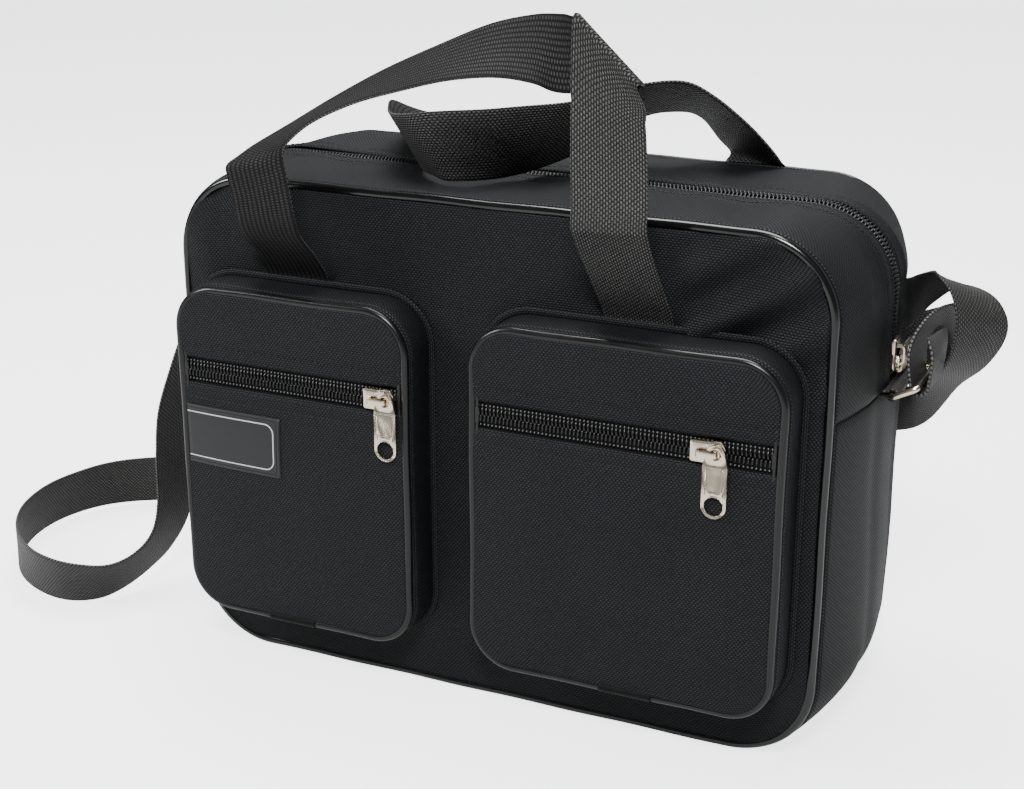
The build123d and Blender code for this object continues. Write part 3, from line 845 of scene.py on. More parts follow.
# %% Rows of stitches along the main zip
def walk(line, pace, start=0.0):
    """Points and directions at even steps along a line."""
    line = np.asarray(line, float)
    run = np.concatenate([[0], np.cumsum(np.linalg.norm(np.diff(line, axis=0), axis=1))])
    at = np.arange(start, run[-1] - pace, pace)
    point = np.stack([np.interp(at, run, line[:, k]) for k in range(3)], axis=1)
    after = np.stack([np.interp(at + pace * 0.6, run, line[:, k]) for k in range(3)], axis=1)
    ahead = after - point
    return at, point, ahead / np.linalg.norm(ahead, axis=1, keepdims=True)


def square_up(ahead, up):
    """Side and true up for a direction and a rough up."""
    up = np.asarray(up, float)
    up = up - ahead * np.dot(up, ahead)
    up = up / np.linalg.norm(up)
    return np.cross(up, ahead), up


def stitches(name, lines, out_of):
    """Rows of stitches; out_of(point) gives the outward direction."""
    frames = []
    for line in lines:
        for _, point, ahead in zip(*walk(line, (stitch_length + stitch_gap) * MM)):
            side, up = square_up(ahead, out_of(point))
            frames.append((point, ahead, side, up))
    piece = copies(name, stitch_shape, frames, thread)
    print(name, len(frames), "stitches")
    return piece


def body_normal(point):
    """Outward from the bag's middle line, for rows on the gusset."""
    x = point[0] - max(-half_width + corner, min(half_width - corner, point[0]))
    z = point[2] - max(corner, min(height - corner, point[2]))
    return (x, 0, z) if abs(x) + abs(z) > 1e-6 else (0, 0, 1)


zip_rows = strip_rows(True)
seam_lines = []
for side in (-1, 1):
    for row_at in zip_stitch_rows:
        y = side * row_at
        seam_lines.append([body_point(row, y, 0.3 * MM + surface_lift(row, y)) for row in zip_rows])
stitches("main_zip_stitching", seam_lines, body_normal)
print("main zip stitching made")

# %% [markdown]
# ## One loop of a zip's coil
# A coil zip is two knitted tapes, each with a nylon coil sewn along its edge. Every turn of the coil is a
# short loop that hooks between two turns of the other side. One loop is drawn out of a six-sided rod,
# section by section.

# %% One loop of the coil
pitch = 2.2 * MM

# A tooth's sections from its outer end to its hook: across the zip, rise, lean along it, half width.
tooth_sections = ((4.0, 0.2, 0.0, 0.5), (3.6, 0.95, 0.05, 0.6), (2.3, 1.25, 0.2, 0.58), (0.9, 1.3, 0.35, 0.6),
                  (0.2, 0.95, 0.4, 0.7), (-0.35, 0.3, 0.4, 0.5))
first = tooth_sections[0]
one_tooth = rod("tooth", (0, first[0] + 0.05, first[1]), first[3], 0.1, 6, (math.pi / 2, 0, 0))
for before, after in zip(tooth_sections, tooth_sections[1:]):
    pick(one_tooth, "faces", lambda face: face.normal.y < -0.4 and len(face.verts) == 6)
    extrude(after[2] - before[2], after[0] - before[0], after[1] - before[1])
    resize(after[3] / before[3], 1, after[3] / before[3], (after[2], after[0], after[1]))
clear()
tooth_shape = take(one_tooth)
print("tooth", len(tooth_shape[1]), "faces")

# %% [markdown]
# ## The main zip
# Both halves of the coil are the same loop, copied half a pitch apart along the middle of the bag. Pale
# dots outside the loops are the thread that sews the coil to its tape. Two knitted tapes lie below and
# run on past the coil's ends, down to the seam.

# %% Coils and tapes of the main zip
sewing_out, sewing_up = 4.6, 0.6        # the sewing thread's place beside a loop, in millimetres
tape_past_end = 7 * MM
sewing_grow = 1.5


def coil_half(name, node, line, up_of, across, sign, spread=None):
    """One half of the coil: the tooth copied along the line, spread apart where the zip is open."""
    frames = []
    for at, point, ahead in zip(*walk(line, pitch, pitch * (0.75 if sign > 0 else 0.25))):
        across_way = np.asarray(across, float) * sign
        up = np.asarray(up_of(point), float)
        up = up / np.linalg.norm(up)
        part = spread(at) if spread else 0.0
        frames.append((point + across_way * part, ahead, across_way, up))
    piece = copies(name, tooth_shape, frames, nylon)
    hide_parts(node)
    sewing = [(point + (side * sewing_out + up * sewing_up) * MM, side * 0.42, -ahead * sewing_grow,
               up * sewing_grow) for point, ahead, side, up in frames]
    copies(name + "_sewing", stitch_shape, sewing, pale_thread)


coil_rows = [r for r in zip_rows if r[1] > seam_z + 3 * MM]
main_line = [body_point(row, 0.0, -1.3 * MM) for row in coil_rows]
for label, sign in (("front", -1), ("rear", 1)):
    coil_half(f"main_coil_{label}", f"main_zip_coil_{label}", main_line, body_normal, (0, 1, 0), sign)
    ys = np.linspace(0.2 * MM, 15 * MM, 10) * sign
    if sign < 0:
        ys = ys[::-1]
    low_z = seam_z - tape_past_end
    rows = [end_row(zip_rows[0], low_z)] + list(zip_rows) + [end_row(zip_rows[-1], low_z)]
    grid = np.array([[body_point(row, y, -1.9 * MM) for y in ys] for row in rows])
    run = np.concatenate([[0], np.cumsum([math.dist(a[:2], b[:2]) for a, b in zip(rows, rows[1:])])])
    uv = np.array([[(s, y) for y in ys] for s in run])
    tape = slab(f"main_tape_{label}", grid, uv, 0.6 * MM, tape_finish, flip=True)
    belongs(tape, f"main_zip_tape_{label}")
print("main zip, pitch", pitch)

# %% [markdown]
# ## Pockets
# Each pocket is a shallow box: a wall strip sewn to the front panel, a face cut in two by its zip, and
# piping round the face. The faces swell over what they hold, and their zip edges are rolled hems.

# %% Form of a pocket's face
hem_rows = (9.4 * MM, 15.8 * MM)      # stitch rows above and below the zip
face_dip = 1.5 * MM                   # how deep the face starts, behind the front of its piping
hem_lip = 1.6 * MM


def face_lift(low, high, zip_z, x, z):
    """How far a pocket's face stands out at a place, beyond the plane of its piping."""
    s = crown((x - low.x) / (high.x - low.x))
    t = crown((z - low.z) / (high.z - low.z))
    dip = np.clip(np.minimum(s, t) * 7, 0, 1)
    sink = np.exp(-((z - zip_z) / 0.022) ** 2)
    swell = 3.0 * MM * s * t * (1 - 0.95 * sink)
    ripple = 0.5 * MM * np.sin(38 * x + 2) * np.sin(29 * z + 1) * dip * (1 - sink)
    groove = sum(np.exp(-((np.abs(z - zip_z) - away) / (0.9 * MM)) ** 2) for away in hem_rows)
    return (dip - 1) * face_dip + swell + ripple - 0.45 * MM * groove * dip


print("pocket face form ready")

# %% [markdown]
# ## The pocket's wall and face
# The wall is one strip round the pocket, a little puffed, with a low ridge of turned cloth where it meets
# the front panel. The face is two cuts of cloth, and the edges that meet at the zip roll under. They
# could be one grid with a slot in it, but two let each hem have its own lip.

# %% Wall and face of a pocket
pocket_corner = 26 * MM
face_inset = 3.0 * MM


def pocket_wall(side, rows, run, face_y):
    ys = np.linspace(front_y + 0.2 * MM, face_y + 2.6 * MM, 12)
    across = (ys - front_y) / (face_y - front_y)
    grid = []
    for row in rows:
        x, z, nx, nz = row
        puff = [1.6 * MM * math.sin(math.pi * a) * (0.6 + 0.4 * math.sin(60 * x + 45 * z)) for a in across]
        puff[0] = 1.4 * MM
        puff[-1] = -1.6 * MM
        grid.append([(x + nx * p, y, z + nz * p) for y, p in zip(ys, puff)])
    uv = np.array([[(s, y) for y in ys] for s in run])
    wall = slab(f"{side}_pocket_wall_cloth", np.array(grid), uv, cloth_thick, oxford, wrap=True)
    belongs(wall, f"{side}_pocket_wall")
    ridge = sweep(f"{side}_pocket_base_seam",
                  [(r[0] + r[2] * 2.0 * MM, front_y - 3.4 * MM, r[1] + r[3] * 2.0 * MM) for r in rows],
                  lambda i: [(2.2 * MM * math.cos(a), 1.0 * MM * math.sin(a))
                             for a in np.linspace(0, 2 * math.pi, 12, endpoint=False)],
                  oxford, closed=True,
                  lifts=np.array([(0.0, -1.0, 0.0)] * len(rows)))
    belongs(ridge)


def pocket_face(side, low, high, zip_z, low_top, up_bottom):
    face_y, inset = low.y, face_inset
    for label, z_from, z_to, is_low in (("lower", low.z + inset, low_top, True),
                                        ("upper", up_bottom, high.z - inset, False)):
        gx, gz, u, v = panel_grid(low.x + inset, high.x - inset, z_from, z_to, pocket_corner - inset,
                                  1.6 * MM, round_low=is_low, round_high=not is_low)
        lip = np.clip(1 - np.abs(gz - (z_to if is_low else z_from)) / hem_lip, 0, 1)
        depth = face_lift(low, high, zip_z, gx, gz) + 0.45 * MM * (1 - lip) - 0.9 * MM * lip ** 2
        grid = np.stack([gx, face_y - depth, gz], axis=2)
        uv = np.stack([u, v], axis=2)
        face = slab(f"{side}_pocket_{label}_cloth", grid, uv, cloth_thick, oxford)
        belongs(face, f"{side}_pocket_{label}_panel")


print("pocket wall and face ready")

# %% [markdown]
# ## The pocket's zip
# It is the same coil as the main one, laid flat. Past the slider's nose the two halves are not joined
# yet, so they stand apart a little there, which also leaves the slider room to run.

# %% Zip and stitches of a pocket
open_by = 0.3 * MM


def pocket_zip(side, face_y, ends, zip_z):
    xs = np.linspace(*ends, 60)
    tape_y = face_y + 1.9 * MM
    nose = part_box(f"{side}_pocket_slider")[1].x

    def spread(at):
        """Beyond the slider the two halves stand apart."""
        x = ends[0] + at
        return open_by * max(0.0, min(1.0, (x - nose + 6 * MM) / (14 * MM)))

    for label, sign in (("lower", -1), ("upper", 1)):
        line = [(x, face_y + 1.3 * MM, zip_z) for x in xs]
        coil_half(f"{side}_pocket_teeth_{label}", f"{side}_pocket_coil_{label}", line,
                  lambda point: (0, -1, 0), (0, 0, 1), sign, spread)
        zs = zip_z + sign * np.linspace(0.2 * MM, 14.5 * MM, 8)
        if sign < 0:
            zs = zs[::-1]
        grid = np.array([[(x, tape_y, z) for z in zs] for x in xs])
        uv = np.array([[(x, z) for z in zs] for x in xs])
        tape = slab(f"{side}_pocket_tape_{label}_knit", grid, uv, 0.6 * MM, tape_finish)
        belongs(tape, f"{side}_pocket_tape_{label}")


def pocket_stitches(side, low, high, ends, zip_z):
    lines = []
    for away in hem_rows:
        for sign in (-1, 1):
            z = zip_z + sign * away
            line = []
            for x in np.linspace(ends[0] + 2 * MM, ends[1] - 2 * MM, 50):
                line.append((x, low.y - face_lift(low, high, zip_z, x, z) - 0.7 * MM, z))
            lines.append(line)
    stitches(f"{side}_pocket_stitching", lines, lambda point: (0, -1, 0))


print("pocket zip ready")

# %% [markdown]
# ## Both pockets
# The two pockets are sewn alike, so each is made by the same steps from its own box in the frame.

# %% The two pockets
for side in ("left", "right"):
    low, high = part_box(f"{side}_pocket_piping")
    low_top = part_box(f"{side}_pocket_lower_panel")[1].z
    up_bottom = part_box(f"{side}_pocket_upper_panel")[0].z
    zip_z = (low_top + up_bottom) / 2
    face_y = low.y
    rows, run = outline(low.x, high.x, low.z, high.z, pocket_corner, 2.5 * MM)
    pocket_wall(side, rows, run, face_y)
    pocket_face(side, low, high, zip_z, low_top, up_bottom)
    piping(f"{side}_pocket_piping", f"{side}_pocket_piping", rows, face_y + 1.4 * MM, pipe_r + 0.1 * MM,
           dull_vinyl, face_y + 0.5 * MM, 2 * pipe_r + 0.9 * MM, 1.0 * MM)
    ends = (low.x + 4.6 * MM, high.x - 4.6 * MM)
    pocket_zip(side, face_y, ends, zip_z)
    pocket_stitches(side, low, high, ends, zip_z)
    print(side, "pocket made, zip at", round(zip_z, 4))

# %% [markdown]
# ## Bindings, base board and zip stops
# The raw seams inside the bag are bound with tape, which follows the same outline as the piping. The
# stiff board in the base and the stops that end each zip keep their solid shapes and only take a finish.

# %% Seam bindings, board and zip stops
for node in ("front_seam_binding", "rear_seam_binding"):
    low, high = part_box(node)
    inset = 4.7 * MM
    ys = np.linspace(low.y + 0.2 * MM, high.y - 0.2 * MM, 5)
    grid = np.array([[(r[0] - r[2] * inset, y, r[1] - r[3] * inset) for y in ys] for r in body_rows])
    uv = np.array([[(s, y) for y in ys] for s in body_run])
    tape = slab(node + "_tape", grid, uv, 1.6 * MM, tape_finish, wrap=True, flip=True)
    belongs(tape, node)
for node, finish in (("base_board", board_finish), ("main_zip_stops", nylon),
                     ("left_pocket_zip_stops", nylon), ("right_pocket_zip_stops", nylon)):
    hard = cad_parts[node]
    hard.data.materials.clear()
    hard.data.materials.append(finish)
print("bindings, board and stops")

# %% [markdown]
# ## Sleeves of ribbed tape
# Piping is one length bent round the pocket, and its two ends meet at the bottom. A short tape tube
# covers the joint. It is a skin swept along the bead, a little wider than the bead it hides.

# %% Sleeves over the joints of the piping
sleeve_r = pipe_r + 0.55 * MM
sleeve_half = 15                # millimetres each way along the piping
for side in ("left", "right"):
    low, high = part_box(f"{side}_pocket_piping_sleeve")
    pocket_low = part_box(f"{side}_pocket_piping")[0]
    middle_x = (low.x + high.x) / 2
    y, z = pocket_low.y + pipe_r - 0.9 * MM, pocket_low.z + pipe_r
    path = [(middle_x + t * MM, y, z) for t in np.linspace(-sleeve_half, sleeve_half, 20)]
    piece = sweep(f"{side}_sleeve", path, lambda i: round_profile(sleeve_r, 20), sleeve_finish,
                  uv_across=lambda k: k * 0.7 * MM)
    belongs(piece, f"{side}_pocket_piping_sleeve")
print("sleeves made, radius", round(sleeve_r / MM, 2), "mm")

# %% [markdown]
# ## The label
# A moulded rubber pad sewn on a pocket, plain but for a raised rim and one pale line. Its left edge is
# caught under the piping. A flat plate would float off the full pocket, so each of its points is lifted
# by the height of the cloth below it.

# %% The label's pad follows the pocket's face
label_low, label_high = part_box("pocket_label")
pocket_low, pocket_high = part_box("left_pocket_piping")
left_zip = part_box("left_pocket_tape_lower")[1].z
pad_clear = 0.45 * MM


def on_label(x, z, out):
    lift = float(face_lift(pocket_low, pocket_high, left_zip, x, z)) + pad_clear
    return (x, pocket_low.y - lift - out, z)


xs = np.linspace(label_low.x, label_high.x, 30)
zs = np.linspace(label_low.z, label_high.z, 18)
grid = np.array([[on_label(x, z, 0.5 * MM) for z in zs] for x in xs])
label = slab("label_pad", grid, np.array([[(x, z) for z in zs] for x in xs]), 1.2 * MM, rubber)
belongs(label, "pocket_label")
print("label", [round(c, 4) for c in label_low], [round(c, 4) for c in label_high])

# %% [markdown]
# ## Rim and pale line of the label
# Each is a low flat-topped rib with rounded corners, open at the side under the piping. The same sweep
# makes all three at different margins. They could be cut into the pad, but separate ribs stay crisp.

# %% Ribs of the label
def label_rib(name, margin, radius, half, tall, finish):
    """A rib round three sides of the label; its fourth side is caught under the piping."""
    right, top, bottom = label_high.x - margin, label_high.z - margin, label_low.z + margin
    quarter = np.linspace(0, math.pi / 2, 9)[1:]
    path = [(x, top) for x in np.linspace(label_low.x, right - radius, 24)]
    path += [(right - radius * (1 - math.sin(a)), top - radius * (1 - math.cos(a))) for a in quarter]
    path += [(right, z) for z in np.linspace(top - radius, bottom + radius, 14)[1:]]
    path += [(right - radius * (1 - math.cos(a)), bottom + radius * (1 - math.sin(a))) for a in quarter]
    path += [(x, bottom) for x in np.linspace(right - radius, label_low.x, 24)[1:]]
    line = [on_label(x, z, 0.45 * MM) for x, z in path]
    profile = [(-half, -0.2 * MM), (-half * 0.8, tall), (half * 0.8, tall), (half, -0.2 * MM)]
    rib = sweep(name, line, lambda i: profile, finish, lifts=np.array([(0.0, -1.0, 0.0)] * len(line)))
    belongs(rib)


label_rib("label_rim", 0.8 * MM, 1.5 * MM, 0.7 * MM, 0.35 * MM, rubber)
label_rib("label_inner_rim", 2.6 * MM, 3.0 * MM, 0.5 * MM, 0.25 * MM, rubber)
label_rib("label_pale_line", 4.2 * MM, 5.5 * MM, 0.42 * MM, 0.22 * MM, pale_line)
print("label ribs made")

# %% [markdown]
# ## A zip's slider
# A slider is cast in zinc and plated. Its top plate is squared at the tail and has rounded shoulders at
# the nose, and an arch on the plate holds the pull. It is built from boxes, extruded, bevelled and joined
# with booleans, and at the end all its edges are rounded a little. All three are alike, so one is made.

# %% One slider, along X to its nose, Z away from the cloth, in millimetres
tail_half, nose_half, half_long = 5.6, 6.5, 9.0
plate_low, plate_top, base_top = 0.8, 2.2, -2.7
bail_low, bail_top, bail_half = 5.2, 6.7, 5.5
leg_x, room_middle = 4.75, 3.7         # the arch's leg that the pull turns on


def runs_along(edge, axis):
    """Whether an edge is parallel to an axis."""
    return abs(getattr((edge.verts[0].co - edge.verts[1].co).normalized(), axis)) > 0.9


def slider_plate(name, low, high, dome):
    """A plate that starts as a box and is extruded to its shoulders and nose."""
    plate = block(name, (-half_long, -tail_half, low), (0, tail_half, high))
    for reach, widen in ((4.05, nose_half / tail_half), (3.15, 1.0), (1.8, 0.5)):
        pick(plate, "faces", lambda face: face.normal.x > 0.9)
        extrude(reach, 0, 0)
        resize(1, widen, 1, (0, 0, (low + high) / 2))
    pick(plate, "edges", lambda edge: runs_along(edge, "z"))
    bpy.ops.mesh.bevel(offset=1.1 * MM, segments=4)
    if dome:
        pick(plate, "faces", lambda face: face.normal.z > 0.9)
        bpy.ops.mesh.inset(thickness=1.3 * MM, depth=dome * MM)
    return plate


slider = slider_plate("slider", plate_low, plate_top, 0.35)
combine(slider, slider_plate("base", base_top - 1.4, base_top, 0), "UNION")
combine(slider, block("neck", (4.0, -0.8, base_top - 0.2), (7.6, 0.8, plate_low + 0.2)), "UNION")
for way in (-1, 1):
    ys = sorted((way * (tail_half - 1.0), way * tail_half))
    combine(slider, block("flange", (-7.8, ys[0], -1.2), (0, ys[1], plate_low + 0.2)), "UNION")
arch = block("arch", (-bail_half, -1.5, plate_top - 0.2), (bail_half, 1.5, bail_top))
pick(arch, "edges", lambda edge: all(v.co.z > 6 * MM for v in edge.verts) and runs_along(edge, "y"))
bpy.ops.mesh.bevel(offset=2.3 * MM, segments=6)
room = block("room", (-4.0, -3, 1.0), (4.0, 3, bail_low))
pick(room, "edges", lambda edge: all(v.co.z > 5 * MM for v in edge.verts) and runs_along(edge, "y"))
bpy.ops.mesh.bevel(offset=0.9 * MM, segments=4)
clear()
cut = block("cut", (-4.0, -3, plate_top + 0.36), (4.0, 3, 9.0))
combine(room, cut, "INTERSECT")
combine(arch, room, "DIFFERENCE")
combine(slider, arch, "UNION")
soften(slider, 0.28)
print("slider faces", len(slider.data.polygons))

# %% [markdown]
# ## The pull on a slider
# The pull is a stamped blade. Its edge stands up as a rim round a sunken middle, and its end has a round
# finger hole. The blade is a box narrowed to its neck, with discs joined on for both ends, and the
# recesses and holes are cut out of it. A recess cut with a boolean keeps the rim as even as a stamp does.

# %% One pull, hanging towards -Y from the leg it turns on
pull_half, eye_half, end_y, neck_y = 6.5, 5.0, -27.5, -6.5
low, high = room_middle - 0.8, room_middle + 0.8
pull = block("pull", (-pull_half, end_y, low), (pull_half, neck_y, high))
pick(pull, "faces", lambda face: face.normal.y > 0.9)
extrude(0, -neck_y, 0)
resize(eye_half / pull_half, 1, 1, (0, 0, room_middle))
clear()
combine(pull, rod("end", (0, end_y, room_middle), pull_half, 1.6, 72), "UNION")
combine(pull, rod("eye", (0, 0, room_middle), eye_half, 1.6, 56), "UNION")
for z_from, z_to in ((high - 0.3, high + 1), (low - 1, low + 0.3)):
    recess = block("recess", (-4.9, -19.6, z_from), (4.9, -7.0, z_to))
    pick(recess, "edges", lambda edge: runs_along(edge, "z"))
    bpy.ops.mesh.bevel(offset=2.0 * MM, segments=5)
    clear()
    combine(pull, recess, "DIFFERENCE")
combine(pull, rod("hole", (0, end_y, room_middle), 5.0, 4, 72), "DIFFERENCE")
combine(pull, rod("eye_hole", (0, 0, room_middle), 2.9, 4, 48), "DIFFERENCE")
soften(pull, 0.2)
print("pull faces", len(pull.data.polygons))

# %% [markdown]
# ## Setting a copy into a zip
# Each zip has its own frame: the way the slider closes, and the way out of the cloth. A parent with a
# rotation would place a copy too. Moving the points instead leaves every piece in the shared frame, with
# nothing left to apply.

# %% A copy of a piece of metal
def copy_to(original, name, origin, x_way, z_way, shift=(0, 0, 0), turn=False):
    """A copy with its own mesh, set into a zip's frame; turn swings it half a turn in its own plane."""
    x_way, z_way = Vector(x_way), Vector(z_way)
    y_way = z_way.cross(x_way)
    if turn:
        x_way, y_way = -x_way, -y_way
    origin = Vector(origin) + (x_way * shift[0] + z_way * shift[2]) * (-1 if turn else 1)
    piece = original.copy()
    piece.data = original.data.copy()
    piece.name = name
    bpy.context.scene.collection.objects.link(piece)
    for vertex in piece.data.vertices:
        p = vertex.co.copy()
        vertex.co = origin + x_way * p.x + y_way * p.y + z_way * p.z
    piece.data.materials.clear()
    piece.data.materials.append(nickel)
    return piece


print("copy helper ready")

# %% [markdown]
# ## Sliders and pulls of the three zips
# The main slider stands on the right side of the bag, and its pull lies across it, towards the back. The
# pocket zips close to the right, and their pulls hang down. The first slider and pull were only patterns,
# so they are removed at the end.

# %% Sliders and pulls at each zip
slider_low, slider_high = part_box("main_slider")
main_z = (slider_low.z + slider_high.z) / 2
side_x = half_width + side_bulge
places = [("main_slider", "main_pull", "main", (side_x, 0, main_z), (0, 0, -1), (1, 0, 0), True)]
for side in ("left", "right"):
    slider_low, slider_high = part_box(f"{side}_pocket_slider")
    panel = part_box(f"{side}_pocket_lower_panel")[1]
    piping_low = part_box(f"{side}_pocket_piping")[0]
    zip_z = (panel.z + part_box(f"{side}_pocket_upper_panel")[0].z) / 2
    place = ((slider_low.x + slider_high.x) / 2, piping_low.y, zip_z)
    places.append((f"{side}_pocket_slider", f"{side}_pocket_pull", side, place, (1, 0, 0), (0, -1, 0), False))
for slider_node, pull_node, zip_name, origin, x_way, z_way, turn in places:
    metal = copy_to(slider, f"{zip_name}_slider_metal", origin, x_way, z_way)
    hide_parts(slider_node)
    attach(metal, f"{zip_name}_slider")
    leg = Vector(origin) + Vector(x_way) * leg_x * MM
    blade = copy_to(pull, f"{zip_name}_pull_metal", leg, x_way, z_way, turn=turn)
    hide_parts(pull_node)
    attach(blade, f"{zip_name}_pull")
bpy.data.objects.remove(slider)
bpy.data.objects.remove(pull)

# %% [markdown]
# ## Wire rings
# A ring is wire bent to a long shape with round corners and welded shut. A torus is added, and its four
# quarters are moved apart, so the wire keeps one thickness and only the straight sides grow. The ring
# then leans up and away from the bag, from the bar that the tab holds.

# %% Wire rings: a torus whose quarters are moved apart
tab_bar = (side_x + 5 * MM, seam_z + 1 * MM)       # the middle of the bar in the tab, seen from the front
ring_reach = (13.5 * MM, 6.8 * MM)                 # from that bar to the outer one
ring_long = math.hypot(*ring_reach)
slope_x, slope_z = ring_reach[0] / ring_long, ring_reach[1] / ring_long
wire_r, bend_r, ring_half = 1.6 * MM, 3 * MM, 22.1 * MM
for side, way in (("left", -1), ("right", 1)):
    clear()
    bpy.ops.mesh.primitive_torus_add(major_segments=24, minor_segments=16, major_radius=bend_r,
                                     minor_radius=wire_r, rotation=(0, 0, math.pi / 24))
    ring = settle(bpy.context.object, f"{side}_wire_ring")
    for vertex in ring.data.vertices:
        vertex.co.x += math.copysign(ring_long / 2 - bend_r, vertex.co.x)
        vertex.co.y += math.copysign(ring_half - bend_r, vertex.co.y)
        across, along = vertex.co.x + ring_long / 2, vertex.co.y
        rise = vertex.co.z
        vertex.co = (way * (tab_bar[0] + across * slope_x - rise * slope_z), along,
                     tab_bar[1] + across * slope_z + rise * slope_x)
    face_out(ring)
    clear()
    bpy.context.view_layer.objects.active = ring
    ring.select_set(True)
    bpy.ops.object.shade_smooth()
    ring.data.materials.append(nickel)
    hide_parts(f"{side}_ring")
    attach(ring, f"{side}_ring")
print("rings made,", round(ring_long / MM, 1), "mm from bar to bar")

# %% [markdown]
# ## Webbing
# Handles and strap are flat 38 mm webbing. Each is carried along its two edges, point by point, so the
# band can stand on edge, twist and fold the way webbing does. The thickness thins at the selvages. The
# ribs show on the outer face, and the inner face is plainer and darker.

# %% A webbing band through pairs of edge points, in millimetres
def smooth(points, steps):
    """A curve through the points, with steps spans between neighbours."""
    line = np.array(points, float)
    line = np.concatenate([[2 * line[0] - line[1]], line, [2 * line[-1] - line[-2]]])
    out = []
    for a, b, c, d in zip(line, line[1:], line[2:], line[3:]):
        for k in range(steps):
            t = k / steps
            out.append(b + (c - a) * t / 2 + (2 * a - 5 * b + 4 * c - d) * t * t / 2
                       + (3 * b - a - 3 * c + d) * t ** 3 / 2)
    return np.array(out + [line[-2]])


def band(name, stations, steps, flip, width=web_width / MM, thick=web_thick / MM, inner=webbing_back):
    """Webbing between two selvage lines; a station marked as a crease may be wider than the webbing."""
    left = smooth([s[0] for s in stations], steps)
    right = smooth([s[1] for s in stations], steps)
    creases = [k * steps for k, s in enumerate(stations) if len(s) > 2]
    middle = (left + right) / 2
    ahead = np.gradient(middle, axis=0)
    shares = np.array([-1, -0.985, -0.95, -0.8, -0.6, -0.4, -0.2, 0, 0.2, 0.4, 0.6, 0.8, 0.95, 0.985, 1])
    thins = np.where(np.abs(shares) > 0.99, 0.35, np.where(np.abs(shares) > 0.97, 0.75, 1.0))
    run = np.concatenate([[0], np.cumsum(np.linalg.norm(np.diff(middle, axis=0), axis=1))])
    front, back, uv = [], [], []
    for i, centre in enumerate(middle):
        across = right[i] - left[i]
        span = np.linalg.norm(across)
        across = across / span
        creased = any(abs(i - k) < steps for k in creases)
        reach = max(width, span if creased else 0) / 2
        lift = np.cross(ahead[i], across)
        lift = lift / np.linalg.norm(lift) * (-1 if flip else 1)
        row = centre + np.outer(shares * reach, across)
        front.append(row + np.outer(thins, lift) * thick / 2)
        back.append(row - np.outer(thins, lift) * thick / 2)
        uv.append([(run[i] * MM, share * width / 2 * MM) for share in shares])
    front, back, uv = np.array(front) * MM, np.array(back) * MM, np.array(uv)
    piece = slab(name, front, uv, 0, webbing_finish, back_material=inner)
    count = front.shape[0] * front.shape[1]
    co = np.concatenate([front.reshape(-1, 3), back.reshape(-1, 3)])
    piece.data.vertices.foreach_set("co", co.ravel())
    piece.data.update()
    face_out(piece)
    print(name, "webbing length", round(float(run[-1]), 0), "mm, points", count * 2)
    return piece, float(run[-1]) * MM


def foot_pair(x, y, z, flip=False):
    pair = ((x - 19, y, z), (x + 19, y, z))
    return pair[::-1] if flip else pair


print("webbing helper ready")

# %% [markdown]
# ## The front handle
# Sewn flat to the front panel by its two feet, it stands up, leans out a little and drops through one
# sharp slanting fold. Each row below gives the two selvages at one place along the webbing.

# %% Front handle: up from its feet, leaning out, with one slanting fold at the right
front_route = [
    foot_pair(-113, -75.9, 197),
    foot_pair(-113, -75.9, 216),
    foot_pair(-113, -76.3, 231),
    foot_pair(-113, -77.5, 238),
    ((-133, -86, 250), (-95, -86, 250)),
    ((-134, -99, 264), (-96, -99, 264)),
    ((-131.5, -107, 276), (-93.5, -108, 275)),
    ((-131.5, -109, 286), (-93.5, -111, 285)),
    ((-132.5, -109.5, 296), (-97, -111, 299)),
    ((-133, -108, 301.5), (-99.5, -111, 307)),
    ((-130, -101, 305.5), (-99, -111.5, 312.5)),
    ((-122, -94, 312), (-95, -111.5, 318)),
    ((-105, -88, 323), (-78, -113, 330)),
    ((-80, -86, 338), (-54, -113, 341)),
    ((-50, -85, 354), (-29, -114, 349)),
    ((-16, -86, 369), (0, -115, 357)),
    ((11, -88, 380), (25, -114, 360)),
    ((34, -91, 386), (44, -112, 358)),
    ((52, -95, 388), (58, -105, 353)),
    ((61, -100, 388.5), (92.5, -98, 356.5), "crease"),
    ((62.6, -102, 390), (94, -100, 358), "crease"),
    ((61, -104, 388.5), (93, -101.5, 356.5), "crease"),
    ((61, -105.5, 371), (98, -103, 347.5), "crease"),
    ((61.5, -107, 350), (99, -104, 341)),
    ((64, -112, 326), (101, -107, 322)),
    ((66, -116, 302), (104, -112.5, 301)),
    ((66, -116.5, 291), (104, -113, 291.5)),
    ((66, -113.5, 286), (104, -110.5, 286.5)),
    ((66, -104, 274), (104, -102.5, 274.5)),
    ((67, -89, 255), (105, -88.5, 255)),
    foot_pair(87.5, -77.5, 238),
    foot_pair(87.5, -76.3, 231),
    foot_pair(87.5, -75.9, 216),
    foot_pair(87.5, -75.9, 197),
]
front_handle, front_length = band("front_handle_webbing", front_route, 6, False)
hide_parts("front_handle", "front_handle_feet")
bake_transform(front_handle)

# %% [markdown]
# ## The rear handle
# It is the same webbing. It has fallen forward over the top of the bag, stands on edge there and turns
# once before its right foot. A cloth simulation could settle a handle too, but not into one chosen fall,
# so its course is written down.

